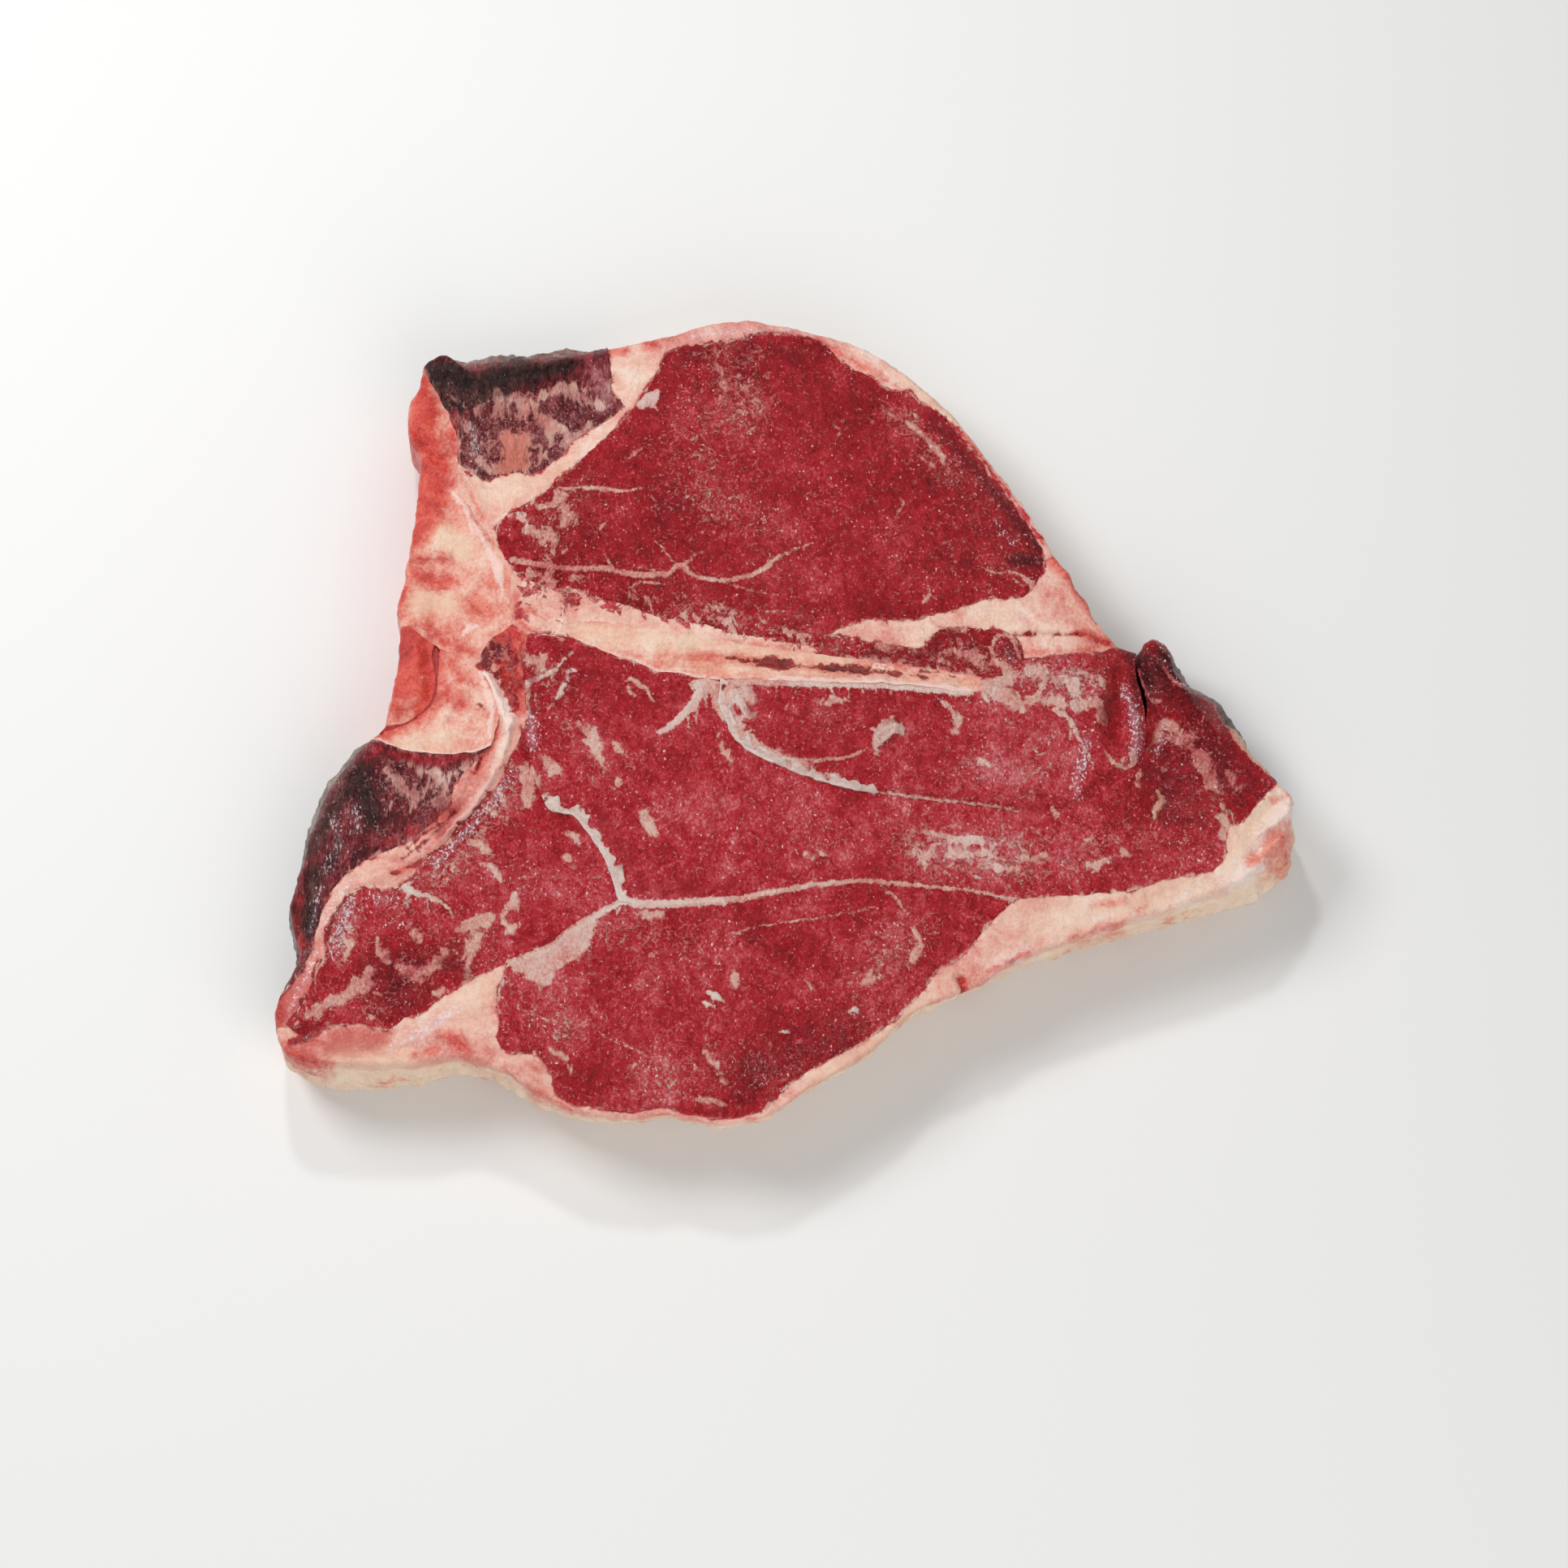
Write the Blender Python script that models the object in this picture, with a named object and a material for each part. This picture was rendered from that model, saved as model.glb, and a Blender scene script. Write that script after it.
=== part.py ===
"""Raw bone-in striploin steak, lying on its underside.

The steak is one slice across a loin. Its top face is divided by seams into bones, layers of
fat and muscles, and every one of them runs through the slice from the face to the underside.
Plan coordinates are millimetres on the cut face, +X right and +Y away from the backfat.
"""

import math

import bmesh
import bpy
import numpy as np
from mathutils import Vector
from mathutils.geometry import delaunay_2d_cdt

MM = 0.001
TURN = 2 * math.pi

# Driving dimensions, in millimetres.
THICKNESS = 28.0  # height of the cut face over the table
PLAN_SCALE = 1.0  # size of the drawn plan against the real slice
PLAN_CENTRE = (-0.45, 4.05)  # middle of the slice's box in plan coordinates
CLEARANCE = 0.36  # saw-thin gap between neighbouring pieces
SEAM_STEP = 5.0  # spacing of the points along a seam
FILL_STEP = 7.5  # spacing of the points inside a face
EDGE_REACH = 13.0  # how far inwards the lean of the outer wall dies away
EDGE_BLUR = 5.0  # how smoothly that lean follows the outline
RIM_DROP = 1.2  # how far the cut face rounds down at the outer edge
RIM_WIDTH = 3.0  # width of that rounding
MITRE_LIMIT = 3.0  # longest corner of an inset, in insets
DIAGONAL_SIDE = (1.0, -0.37)  # neighbours cut their walls' quads from the corner first along this
WALL_DEPTHS = (0.0, 0.3, 0.72, 1.0)  # shares of the thickness at which a wall has a ring
UNDERSIDE_TUCK = 1.4  # how far the wall tucks in at the table
CRUST_LUMP = 1.1  # height of the dried crust's lumps
CRUST_PITCH = (13.0, 16.0)  # distance from one lump to the next along X and Y
CRUST_SLANT = 0.6  # turns that the lumps shift by on their way down
SWELL = 0.5  # height of the cut face's slow swells
SWELL_PITCH = (145.0, 120.0)  # length of those swells along X and Y

# Places where three or more pieces meet.
BONE_TOP = (-104, 103)
CRUST_END = (-53, 115.5)
POCKET_HEEL = (-96, 79.5)
EYE_HEEL = (-83, 52)
EYE_FOOT = (-79.5, 46)
SPINE_NOTCH = (-79, 29)
ROOT_FORK = (-74.5, 26)
FINGER_ROOT = (-62, 25)
BONE_FAT_TIP = (8, 22)
FINGER_WAIST = (8, 20)
WEDGE_TIP = (11, 26)
RIM_END = (72.8, 49)
RIM_EDGE_END = (74.8, 50.5)
FINGER_TIP = (53, 13)
STRIP_END = (66, 18.5)
WEDGE_FOOT = (93, 22.3)
CLEFT_LEFT = (97, 20.5)
CLEFT_RIGHT = (99.3, 20.5)
CLEFT_FOOT = (99.8, -1)
FLAP_END = (136, -18)
CAP_FORK = (62, -53.2)
HEART = (-48, -53.5)
CAP_NOTCH = (-78, -71)
TAIL_INNER = (-138, -90)
TAIL_OUTER = (-141.5, -90)
TAIL_TOP = (-141.5, -82)
GRISTLE_FORK = (-76, -5)
SOCKET_BACK = (-84.5, -7.5)
SOCKET_TOP = (-89.3, 16.2)
JOINT_RIGHT = (-99, 21.5)
JOINT_LEFT = (-103, 25)
KNOB_TOP = (-111, 28)
KNOB_FOOT = (-113.5, -1.5)
SOCKET_FOOT = (-115.5, -3.8)
DARK_TOP = (-117, -5.5)
FINGER_SADDLE = (-20, 12.5)

# Every line of the plan, from one meeting place to another, named after what it parts.
SEAMS = {
    # outer edge, anticlockwise from the top of the bone
    "chine_edge": [BONE_TOP, (-108, 101.5), (-110.2, 98.5), (-110, 88), (-106.8, 81.5), (-107, 73),
                   (-108, 60), (-109.2, 51), (-110.5, 43), (-112, 35), KNOB_TOP],
    "knob_edge": [KNOB_TOP, (-111.3, 18), (-112.2, 11), (-113.2, 4), KNOB_FOOT],
    "socket_edge": [SOCKET_FOOT, DARK_TOP],
    "dark_edge": [DARK_TOP, (-120.5, -9), (-124, -15), (-128, -21), (-131, -28), (-133.5, -34),
                  (-135, -41), (-138.5, -53), (-138, -60), (-136.5, -66), (-136.5, -71), TAIL_TOP],
    "tail_edge": [TAIL_TOP, (-142, -86), TAIL_OUTER],
    "cap_edge": [TAIL_OUTER, (-140, -95), (-136, -98.5), (-129, -100), (-115, -100.5), (-103, -100.5),
                 (-96, -99), (-90, -98.5), (-84, -100), (-78, -102.5), (-72, -106.5), (-66, -110.5),
                 (-60, -113.3), (-52, -115), (-43, -115.8), (-35, -115), (-28, -116.5), (-20, -117.8),
                 (-12, -117), (-5, -114.5), (5, -107.5), (16, -101), (22, -96.8), (31, -88), (36, -84.5),
                 (50, -78.5), (62, -71), (76, -65.5), (95, -58.8), (112, -53), (120, -50), (127, -46.5),
                 (133, -40), (137, -33), (139.5, -27), (139.5, -22), FLAP_END],
    "flap_edge": [FLAP_END, (131, -12), (127, -8), (120, 0), (117, 5), (110, 10.5), (108, 15),
                  (106, 20.5), (103, 24), CLEFT_RIGHT],
    "side_edge": [CLEFT_LEFT, (95, 21.5), WEDGE_FOOT],
    "wedge_edge": [WEDGE_FOOT, (90, 25.5), (87, 28.5), (84, 36.5), (81, 40.5), (79.5, 44.5), RIM_EDGE_END],
    "rim_edge": [RIM_EDGE_END, (70.5, 60), (62.5, 72), (53.5, 85), (46.5, 94.5), (36.5, 104.5), (27, 112),
                 (18, 117), (3, 121.5), (-10, 124.5), (-16, 124.8), (-22, 124.2), (-34, 120.3), CRUST_END],
    "pocket_edge": [CRUST_END, (-58, 113.5), (-66, 112.5), (-80, 110.3), (-97, 107.5), BONE_TOP],
    # around the bones
    "chine_pocket": [BONE_TOP, (-101, 99), (-98, 92), (-96, 86), POCKET_HEEL],
    "chine_upper": [POCKET_HEEL, (-95.5, 72), (-92.5, 66), (-89, 60), EYE_HEEL],
    "chine_eye": [EYE_HEEL, EYE_FOOT],
    "chine_bonefat": [EYE_FOOT, (-80, 38), SPINE_NOTCH],
    "chine_gristle": [SPINE_NOTCH, (-82, 27), (-85, 24.5), (-87.3, 21), SOCKET_TOP],
    "chine_socket": [SOCKET_TOP, (-94, 19), JOINT_RIGHT],
    "chine_gap": [JOINT_RIGHT, JOINT_LEFT],
    "chine_knob": [JOINT_LEFT, (-104.5, 28.6), (-108, 28.3), KNOB_TOP],
    "knob_face": [JOINT_LEFT, (-101.8, 20), (-100.7, 14), (-100.7, 9.5), (-102, 5.5), (-105, 2),
                  (-109, -0.5), KNOB_FOOT],
    "socket_face": [JOINT_RIGHT, (-98.6, 14), (-98.8, 8.5), (-100.5, 4.3), (-103.5, 0.8), (-108, -2),
                    SOCKET_FOOT],
    "socket_gristle": [SOCKET_TOP, (-86, 12), (-83.8, 7), (-82.5, 1), SOCKET_BACK],
    "socket_dark": [SOCKET_BACK, (-88, -9.3), (-95, -10.3), (-103, -9.8), (-109, -8.8), DARK_TOP],
    "finger_bonefat": [FINGER_ROOT, (-64.3, 27.3), (-62.5, 29.5), (-57, 30), (-48, 29.3), (-28, 25.6),
                       (-6, 21.9), FINGER_WAIST],
    "finger_strip": [FINGER_WAIST, (18, 18.5), (30, 16.8), (42, 15), FINGER_TIP],
    "finger_side": [FINGER_TIP, (54, 10.5), (52, 8.3), (44, 8.8), (34, 10.2), (5, 11.2), FINGER_SADDLE],
    "finger_centre": [FINGER_SADDLE, (-27, 13.5), (-31, 14.8), (-38, 15), (-41.5, 17), (-50, 20),
                      FINGER_ROOT],
    # around the fat
    "pocket_upper": [POCKET_HEEL, (-93.5, 77), (-90, 75), (-86.5, 74.3), (-83, 76.2), (-74, 76.5),
                     (-69.5, 79), (-62, 87), (-57, 90.3), (-52, 93.5), (-48.5, 97.5), (-50.5, 100.3),
                     (-52.2, 103), (-52, 108), CRUST_END],
    "eye_upper": [RIM_END, (71, 53.5), (64.5, 65.5), (56.5, 77.3), (48, 89), (45, 93), (37, 98.8),
                  (34.5, 101.2), (29.5, 102), (24, 105.5), (15.5, 110.5), (8.5, 117.8), (3, 119.5),
                  (-4, 120.5), (-11, 119.8), (-18, 118), (-26, 117), (-35, 114.8), (-38, 110.5),
                  (-40.5, 105), (-47.5, 94.5), (-57, 83.5), (-66.5, 74.5), (-71.5, 69.5), (-76, 66.3),
                  (-81, 63.3), (-84.3, 59.5), EYE_HEEL],
    "upper_wedge": [RIM_END, RIM_EDGE_END],
    "eye_bonefat": [EYE_FOOT, (-75, 43), (-70, 40.5), (-59, 39.5), (-55, 37), (-48, 35.3), (-42, 33),
                    (-35, 30.6), (-26, 29.3), (-18, 27), (-8, 25), BONE_FAT_TIP],
    "bonefat_strip": [BONE_FAT_TIP, FINGER_WAIST],
    "bonefat_centre": [ROOT_FORK, (-68, 25.6), FINGER_ROOT],
    "bonefat_gristle": [SPINE_NOTCH, ROOT_FORK],
    "eye_strip": [BONE_FAT_TIP, WEDGE_TIP],
    "eye_wedge": [WEDGE_TIP, (16, 28.7), (24.5, 31), (29, 30.2), (36, 31), (51, 35), (57, 37.3),
                  (62, 36.7), (67, 38), (71.5, 45), RIM_END],
    "strip_wedge": [WEDGE_TIP, (18, 25), (33, 22.3), (38, 22.3), (40.5, 26.5), (44, 28), (61, 26.8),
                    (65, 23.5), STRIP_END],
    "strip_side": [STRIP_END, (64.5, 14.5), (60, 13.5), FINGER_TIP],
    "wedge_side": [STRIP_END, (72, 19), (80, 20.3), (87, 20.7), WEDGE_FOOT],
    "dark_gristle": [SOCKET_BACK, (-91.5, -15.5), (-94.5, -20), (-95.5, -25), (-98, -28.5), (-107, -36),
                     (-118.5, -41.5), (-123.5, -45.5), (-127.5, -50.5), (-130, -56), (-131.5, -63),
                     (-133.5, -70), (-137, -77), TAIL_TOP],
    "gristle_centre": [ROOT_FORK, (-76, 18), (-74.8, 10), (-74, 3), GRISTLE_FORK],
    "gristle_left": [GRISTLE_FORK, (-79, -12), (-81.5, -18), (-88, -26), (-97, -36.5), (-102, -41.5),
                     (-106, -46.5), (-110, -49.5), (-117, -49.5), (-122, -51.5), (-125.8, -55.5),
                     (-127.8, -62), (-129.5, -70), (-135, -84), TAIL_INNER],
    "gristle_cap": [TAIL_INNER, TAIL_OUTER],
    "left_cap": [TAIL_INNER, (-134, -92.5), (-130, -91.5), (-124, -89.3), (-118, -89), (-112, -91),
                 (-108.5, -89.2), (-105.5, -86.8), (-102, -86.3), (-96, -81), (-88, -75.8), CAP_NOTCH],
    "bottom_cap": [CAP_NOTCH, (-79.3, -75), (-80.8, -80), (-80.3, -88), (-80.5, -94), (-77.5, -97.3),
                   (-72, -97.6), (-68, -99.5), (-66, -103), (-64.5, -108), (-61, -111.3), (-54, -112.8),
                   (-44, -113.8), (-35, -113.2), (-28, -114.8), (-20, -116), (-12, -115), (-6, -112.3),
                   (-1.5, -107.5), (8, -100.5), (19, -94.5), (30, -86.5), (37, -78.5), (40.5, -73.5),
                   (45, -71.2), (48.5, -68), (55.5, -59.5), CAP_FORK],
    "centre_cap": [CAP_FORK, (70, -52), (80, -51.8), (98, -49.8), (104, -47.2), (117, -44.5),
                   (120.5, -41), (121, -35), (122.5, -31.5), (126, -30), FLAP_END],
    # between the muscles
    "left_bottom": [CAP_NOTCH, (-66, -65.8), (-62, -62.3), (-53, -56.5), HEART],
    "left_centre": [HEART, (-51, -43), (-57.5, -32), (-61, -28), (-67, -26.5), (-70, -22), (-73, -14),
                    GRISTLE_FORK],
    "centre_bottom": [HEART, (-44, -54.7), (-36, -55), (-16, -53.5), (0, -50), (20, -47.6), (30, -48.3),
                      (42, -49.5), (52, -50.7), CAP_FORK],
    "side_centre": [FINGER_SADDLE, (-20.5, 6), (-18.5, 0), (-15.5, -6), (-10, -10.3), (5, -17),
                    (13, -19.7), (30, -22.8), (52, -25.5), (64, -27.5), (74, -27), (81, -24.5),
                    (86, -19.5), (91, -15.8), (96.5, -13), (99.2, -8), CLEFT_FOOT],
    "side_cleft": [CLEFT_FOOT, (99, 5), (97.3, 11), (96.8, 16), CLEFT_LEFT],
    "flap_cleft": [CLEFT_FOOT, (100.3, 5), (99.6, 11), (99, 16), CLEFT_RIGHT],
}

# How far the outer wall leans outwards (+) at half depth and at the table, from point to point
# along each outer seam: share of the seam, lean at half depth, lean at the table.
EDGE_LEANS = {
    "chine_edge": [(0, 1.0, 0.5), (0.3, 0.3, 0), (1, 0.3, 0)],
    "knob_edge": [(0, 0.3, 0), (0.5, 0.5, 0), (1, 3.0, 3.0)],
    "socket_edge": [(0, 3.5, 3.0), (1, 4.0, 3.0)],
    "dark_edge": [(0, 4.5, 3.0), (0.15, 6.0, 4.0), (0.35, 5.0, 3.0), (0.6, 1.0, -0.5), (1, 0.5, 0)],
    "tail_edge": [(0, 0.5, 0), (1, 0.5, 0)],
    "cap_edge": [(0, 0, -1.0), (0.03, 0.3, -2.5), (0.06, 3.2, -0.5), (0.09, 3.2, -1.7),
                 (0.12, 0.7, -3.5), (0.24, 0.4, -4.0), (0.3, -2.5, -7.0), (0.42, -3.7, -8.6),
                 (0.55, -2.8, -6.8), (0.62, -3.1, -7.6), (0.72, -1.4, -6.0), (0.78, 0.1, -4.8),
                 (0.87, 0.8, -4.0), (0.91, 4.0, 0.5), (0.94, 6.8, 4.3), (0.97, 1.5, 0.5), (1, 0.5, 0)],
    "flap_edge": [(0, 0.5, 0), (0.15, 2.5, 0.5), (0.3, 7.5, 4.0), (0.45, 7.0, 4.0), (0.6, 5.5, 2.5),
                  (0.8, 5.0, 2.5), (0.95, 2.5, 1.0), (1, 1.0, 0)],
    "side_edge": [(0, 0.6, 0), (1, 0.6, 0)],
    "wedge_edge": [(0, 1.0, 0), (1, 1.0, 0)],
    "rim_edge": [(0, 0.8, -0.5), (0.8, 0.8, -1.0), (1, 2.5, 1.0)],
    "pocket_edge": [(0, 2.5, 1.0), (0.15, 8.5, 5.5), (0.85, 8.0, 5.0), (1, 1.5, 1.0)],
}
CRUST_SEAMS = ("dark_edge", "flap_edge", "pocket_edge")

# The pieces: the seams round each, its finish, and the height and tilt of its top face
# (rise at its middle, then rise per millimetre towards +X and +Y).
PIECES = {
    "chine_bone": (["chine_edge", "chine_knob", "chine_gap", "chine_socket", "chine_gristle",
                    "chine_bonefat", "chine_eye", "chine_upper", "chine_pocket"], "bone", (0.3, 0, 0)),
    "joint_knob": (["knob_edge", "knob_face", "chine_knob"], "bone", (0.2, 0, 0)),
    "joint_socket": (["socket_face", "socket_edge", "socket_dark", "socket_gristle", "chine_socket"],
                     "bone", (0.0, 0, 0)),
    "finger_bone": (["finger_bonefat", "finger_strip", "finger_side", "finger_centre"], "bone",
                    (0.6, 0, 0)),
    "upper_fat": (["pocket_upper", "rim_edge", "upper_wedge", "eye_upper", "chine_upper"], "fat",
                  (0.2, 0, 0)),
    "bone_fat": (["chine_bonefat", "eye_bonefat", "bonefat_strip", "finger_bonefat", "bonefat_centre",
                  "bonefat_gristle"], "fat", (0.1, 0, 0)),
    "wedge_fat": (["eye_wedge", "upper_wedge", "wedge_edge", "wedge_side", "strip_wedge"], "fat",
                  (0.2, 0, 0)),
    "gristle_band": (["chine_gristle", "socket_gristle", "dark_gristle", "tail_edge", "gristle_cap",
                      "gristle_left", "gristle_centre", "bonefat_gristle"], "fat", (0.2, 0, 0)),
    "cap_fat": (["gristle_cap", "cap_edge", "centre_cap", "bottom_cap", "left_cap"], "fat",
                (-0.3, 0, 0)),
    "pocket_muscle": (["chine_pocket", "pocket_upper", "pocket_edge"], "crust", (-1.0, 0, 0.03)),
    "dark_muscle": (["socket_dark", "dark_edge", "dark_gristle"], "crust", (-0.6, 0.02, 0)),
    "eye_muscle": (["eye_upper", "chine_eye", "eye_bonefat", "eye_strip", "eye_wedge"], "lean",
                   (0.6, 0, 0)),
    "strip_muscle": (["eye_strip", "bonefat_strip", "finger_strip", "strip_side", "strip_wedge"],
                     "lean", (-0.5, 0, 0)),
    "side_muscle": (["finger_side", "side_centre", "side_cleft", "side_edge", "wedge_side",
                     "strip_side"], "lean", (1.2, -0.012, -0.02)),
    "centre_muscle": (["gristle_centre", "left_centre", "centre_bottom", "centre_cap", "flap_edge",
                       "flap_cleft", "side_centre", "finger_centre", "bonefat_centre"], "lean",
                      (-0.3, -0.006, -0.02)),
    "left_muscle": (["gristle_left", "left_cap", "left_bottom", "left_centre"], "lean",
                    (-1.2, -0.02, 0)),
    "bottom_muscle": (["left_bottom", "bottom_cap", "centre_bottom"], "lean", (-0.7, 0, 0)),
}

FINISHES = {
    "lean": ((0.33, 0.030, 0.040), 0.40),
    "crust": ((0.10, 0.018, 0.022), 0.55),
    "fat": ((0.78, 0.49, 0.36), 0.45),
    "bone": ((0.72, 0.33, 0.23), 0.50),
}

# The dried knuckle of crust that curls up beyond the top of the bone.
NUB_AT = (-100.5, 106.5)
NUB_RADIUS = 6.0
NUB_RISE = 3.0
NUB_PUSH = 3.5


def clear_scene():
    for obj in list(bpy.data.objects):
        bpy.data.objects.remove(obj, do_unlink=True)


def make_material(name):
    colour, roughness = FINISHES[name]
    material = bpy.data.materials.new(name)
    material.use_nodes = True
    shader = material.node_tree.nodes["Principled BSDF"]
    shader.inputs["Base Color"].default_value = (*colour, 1)
    shader.inputs["Roughness"].default_value = roughness
    shader.inputs["Metallic"].default_value = 0
    return material


def smooth_line(points, step):
    """A centripetal Catmull-Rom curve through the points, read off every step or so."""
    points = np.array(points, float)
    if len(points) == 2:
        count = max(1, round(np.linalg.norm(points[1] - points[0]) / step))
        share = np.linspace(0, 1, count + 1)[:, None]
        return points[0] * (1 - share) + points[1] * share
    padded = np.vstack([2 * points[0] - points[1], points, 2 * points[-1] - points[-2]])
    dense = []
    for p0, p1, p2, p3 in zip(padded, padded[1:], padded[2:], padded[3:]):
        knots = np.cumsum([0] + [math.sqrt(np.linalg.norm(b - a)) for a, b in ((p0, p1), (p1, p2), (p2, p3))])
        for at in np.linspace(knots[1], knots[2], 12, endpoint=False):
            a1 = p0 + (p1 - p0) * (at - knots[0]) / (knots[1] - knots[0])
            a2 = p1 + (p2 - p1) * (at - knots[1]) / (knots[2] - knots[1])
            a3 = p2 + (p3 - p2) * (at - knots[2]) / (knots[3] - knots[2])
            b1 = a1 + (a2 - a1) * (at - knots[0]) / (knots[2] - knots[0])
            b2 = a2 + (a3 - a2) * (at - knots[1]) / (knots[3] - knots[1])
            dense.append(b1 + (b2 - b1) * (at - knots[1]) / (knots[2] - knots[1]))
    dense = np.vstack([dense, points[-1]])
    along = np.concatenate([[0], np.cumsum(np.linalg.norm(np.diff(dense, axis=0), axis=1))])
    count = max(2, round(along[-1] / step))
    wanted = np.linspace(0, along[-1], count + 1)
    return np.stack([np.interp(wanted, along, dense[:, 0]), np.interp(wanted, along, dense[:, 1])], axis=1)


def signed_area(outline):
    x, y = outline[:, 0], outline[:, 1]
    return 0.5 * float(np.sum(x * np.roll(y, -1) - np.roll(x, -1) * y))


def walk_round(names, lines):
    """Chains seams into one anticlockwise outline. A seam is turned round where its far end comes first."""
    chain = lines[names[0]]
    following = lines[names[1]]
    if not any(np.allclose(chain[-1], end) for end in (following[0], following[-1])):
        chain = chain[::-1]
    for name in names[1:]:
        line = lines[name]
        if not np.allclose(line[0], chain[-1], atol=1e-6):
            line = line[::-1]
        if not np.allclose(line[0], chain[-1], atol=1e-6):
            chain = np.vstack([chain, line[:1]])  # a joint's gap opens here to the outer edge
        chain = np.vstack([chain, line[1:]])
    if np.allclose(chain[0], chain[-1], atol=1e-6):
        chain = chain[:-1]
    return chain if signed_area(chain) > 0 else chain[::-1]


def inset(outline, distance):
    """Moves each corner inwards, so that every side ends up the distance from where it was."""
    before = outline - np.roll(outline, 1, axis=0)
    after = np.roll(outline, -1, axis=0) - outline
    before /= np.linalg.norm(before, axis=1, keepdims=True)
    after /= np.linalg.norm(after, axis=1, keepdims=True)
    inward = np.stack([-before[:, 1] - after[:, 1], before[:, 0] + after[:, 0]], axis=1)
    length = np.linalg.norm(inward, axis=1, keepdims=True)
    inward /= np.maximum(length, 1e-6)
    mitre = 2 / np.maximum(length, 2 / MITRE_LIMIT)
    return outline + inward * mitre * distance


def inside(points, outline):
    """Whether each point lies within the outline, by counting the sides that a ray crosses."""
    x, y = points[:, :1], points[:, 1:]
    x0, y0 = outline[:, 0], outline[:, 1]
    x1, y1 = np.roll(x0, -1), np.roll(y0, -1)
    crosses = (y0 > y) != (y1 > y)
    rise = np.where(y1 == y0, 1e-9, y1 - y0)
    return ((crosses & (x < x0 + (y - y0) * (x1 - x0) / rise)).sum(axis=1) % 2) == 1


def distance_to(points, outline):
    """Distance of each point from the closed outline's nearest side."""
    start, along = outline, np.roll(outline, -1, axis=0) - outline
    offset = points[:, None] - start[None]
    share = np.clip((offset * along).sum(2) / (along**2).sum(1), 0, 1)
    return np.linalg.norm(offset - share[..., None] * along, axis=2).min(axis=1)


def fill_face(outline):
    """Triangles over the outline, with points on a triangular lattice inside it."""
    low, high = outline.min(0), outline.max(0)
    rows = np.arange(low[1], high[1], FILL_STEP * math.sqrt(0.75))
    lattice = [
        (x + (FILL_STEP / 2 if row % 2 else 0), y)
        for row, y in enumerate(rows)
        for x in np.arange(low[0], high[0], FILL_STEP)
    ]
    lattice = np.array(lattice)
    lattice = lattice[inside(lattice, outline)]
    if len(lattice):
        lattice = lattice[distance_to(lattice, outline) > 0.5 * FILL_STEP]
    points = np.vstack([outline, lattice.reshape(-1, 2)])
    border = list(range(len(outline)))
    found = delaunay_2d_cdt([Vector(p) for p in points], [], [border], 1, 1e-7)
    triangles = [f for f in found[2] if len(f) == 3]
    return points, triangles


class OuterWall:
    """The steak's side: which way it faces, and how it leans, at points all round the outer edge."""

    def __init__(self, lines):
        places, pushes, facings, crust = [], [], [], []
        for name, leans in EDGE_LEANS.items():
            line = lines[name]
            along = np.concatenate([[0], np.cumsum(np.linalg.norm(np.diff(line, axis=0), axis=1))])
            middle = (line[1:] + line[:-1]) / 2
            facing = np.diff(line, axis=0)
            facing = np.stack([facing[:, 1], -facing[:, 0]], axis=1)
            facing /= np.linalg.norm(facing, axis=1, keepdims=True)
            share = (along[1:] + along[:-1]) / 2 / along[-1]
            shares, half, foot = zip(*leans)
            lean = np.stack([np.interp(share, shares, half), np.interp(share, shares, foot)], axis=1)
            places.append(middle)
            pushes.append(facing[:, None, :] * lean[:, :, None])
            facings.append(facing)
            crust.append(np.full(len(middle), float(name in CRUST_SEAMS)))
        self.places = np.vstack(places)
        self.pushes = np.concatenate(pushes)
        self.facings = np.vstack(facings)
        self.crust = np.concatenate(crust)

    def near(self, points):
        """For each point: its distance from the outer edge, and the share of each edge place in it."""
        apart = np.linalg.norm(points[:, None] - self.places[None], axis=2)
        nearest = apart.min(axis=1)
        weight = np.exp(-((apart - nearest[:, None]) ** 2) / (2 * EDGE_BLUR**2))
        return nearest, weight / weight.sum(axis=1, keepdims=True)

    def moved(self, points, height):
        """Plan points of the cut face carried to where the side has them at a height over the table."""
        depth = np.clip(1 - height / THICKNESS, 0, 1)
        nearest, weight = self.near(points)
        half = weight @ self.pushes[:, 0]
        foot = weight @ self.pushes[:, 1]
        outward = weight @ self.facings
        fade = np.exp(-((nearest / EDGE_REACH) ** 2))
        bulge, slant = 4 * depth * (1 - depth), depth * (2 * depth - 1)
        push = half * (bulge * fade)[:, None] + foot * (slant * fade)[:, None]
        turns = points / CRUST_PITCH
        lump = np.sin(TURN * turns[:, 0]) + np.cos(TURN * (turns[:, 1] + CRUST_SLANT * depth))
        crag = lump * (weight @ self.crust) * CRUST_LUMP * np.sin(math.pi * depth)
        tuck = UNDERSIDE_TUCK * np.clip((depth - WALL_DEPTHS[-2]) / (1 - WALL_DEPTHS[-2]), 0, 1)
        nub = NUB_PUSH * np.exp(-(((points - NUB_AT) ** 2).sum(1)) / NUB_RADIUS**2) * (1 - depth)
        return points + push + outward * ((crag - tuck) * fade + nub)[:, None]

    def height(self, points, tilt, middle):
        """Height of the cut face over the table."""
        nearest, _ = self.near(points)
        rise, per_x, per_y = tilt
        slope = (points[:, 0] - middle[0]) * per_x + (points[:, 1] - middle[1]) * per_y
        turns = points / SWELL_PITCH
        swell = SWELL * np.sin(TURN * turns[:, 0]) * np.cos(TURN * turns[:, 1])
        rim = RIM_DROP * np.exp(-((nearest / RIM_WIDTH) ** 2))
        nub = NUB_RISE * np.exp(-(((points - NUB_AT) ** 2).sum(1)) / NUB_RADIUS**2)
        return THICKNESS + rise + slope + swell - rim + nub


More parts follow.
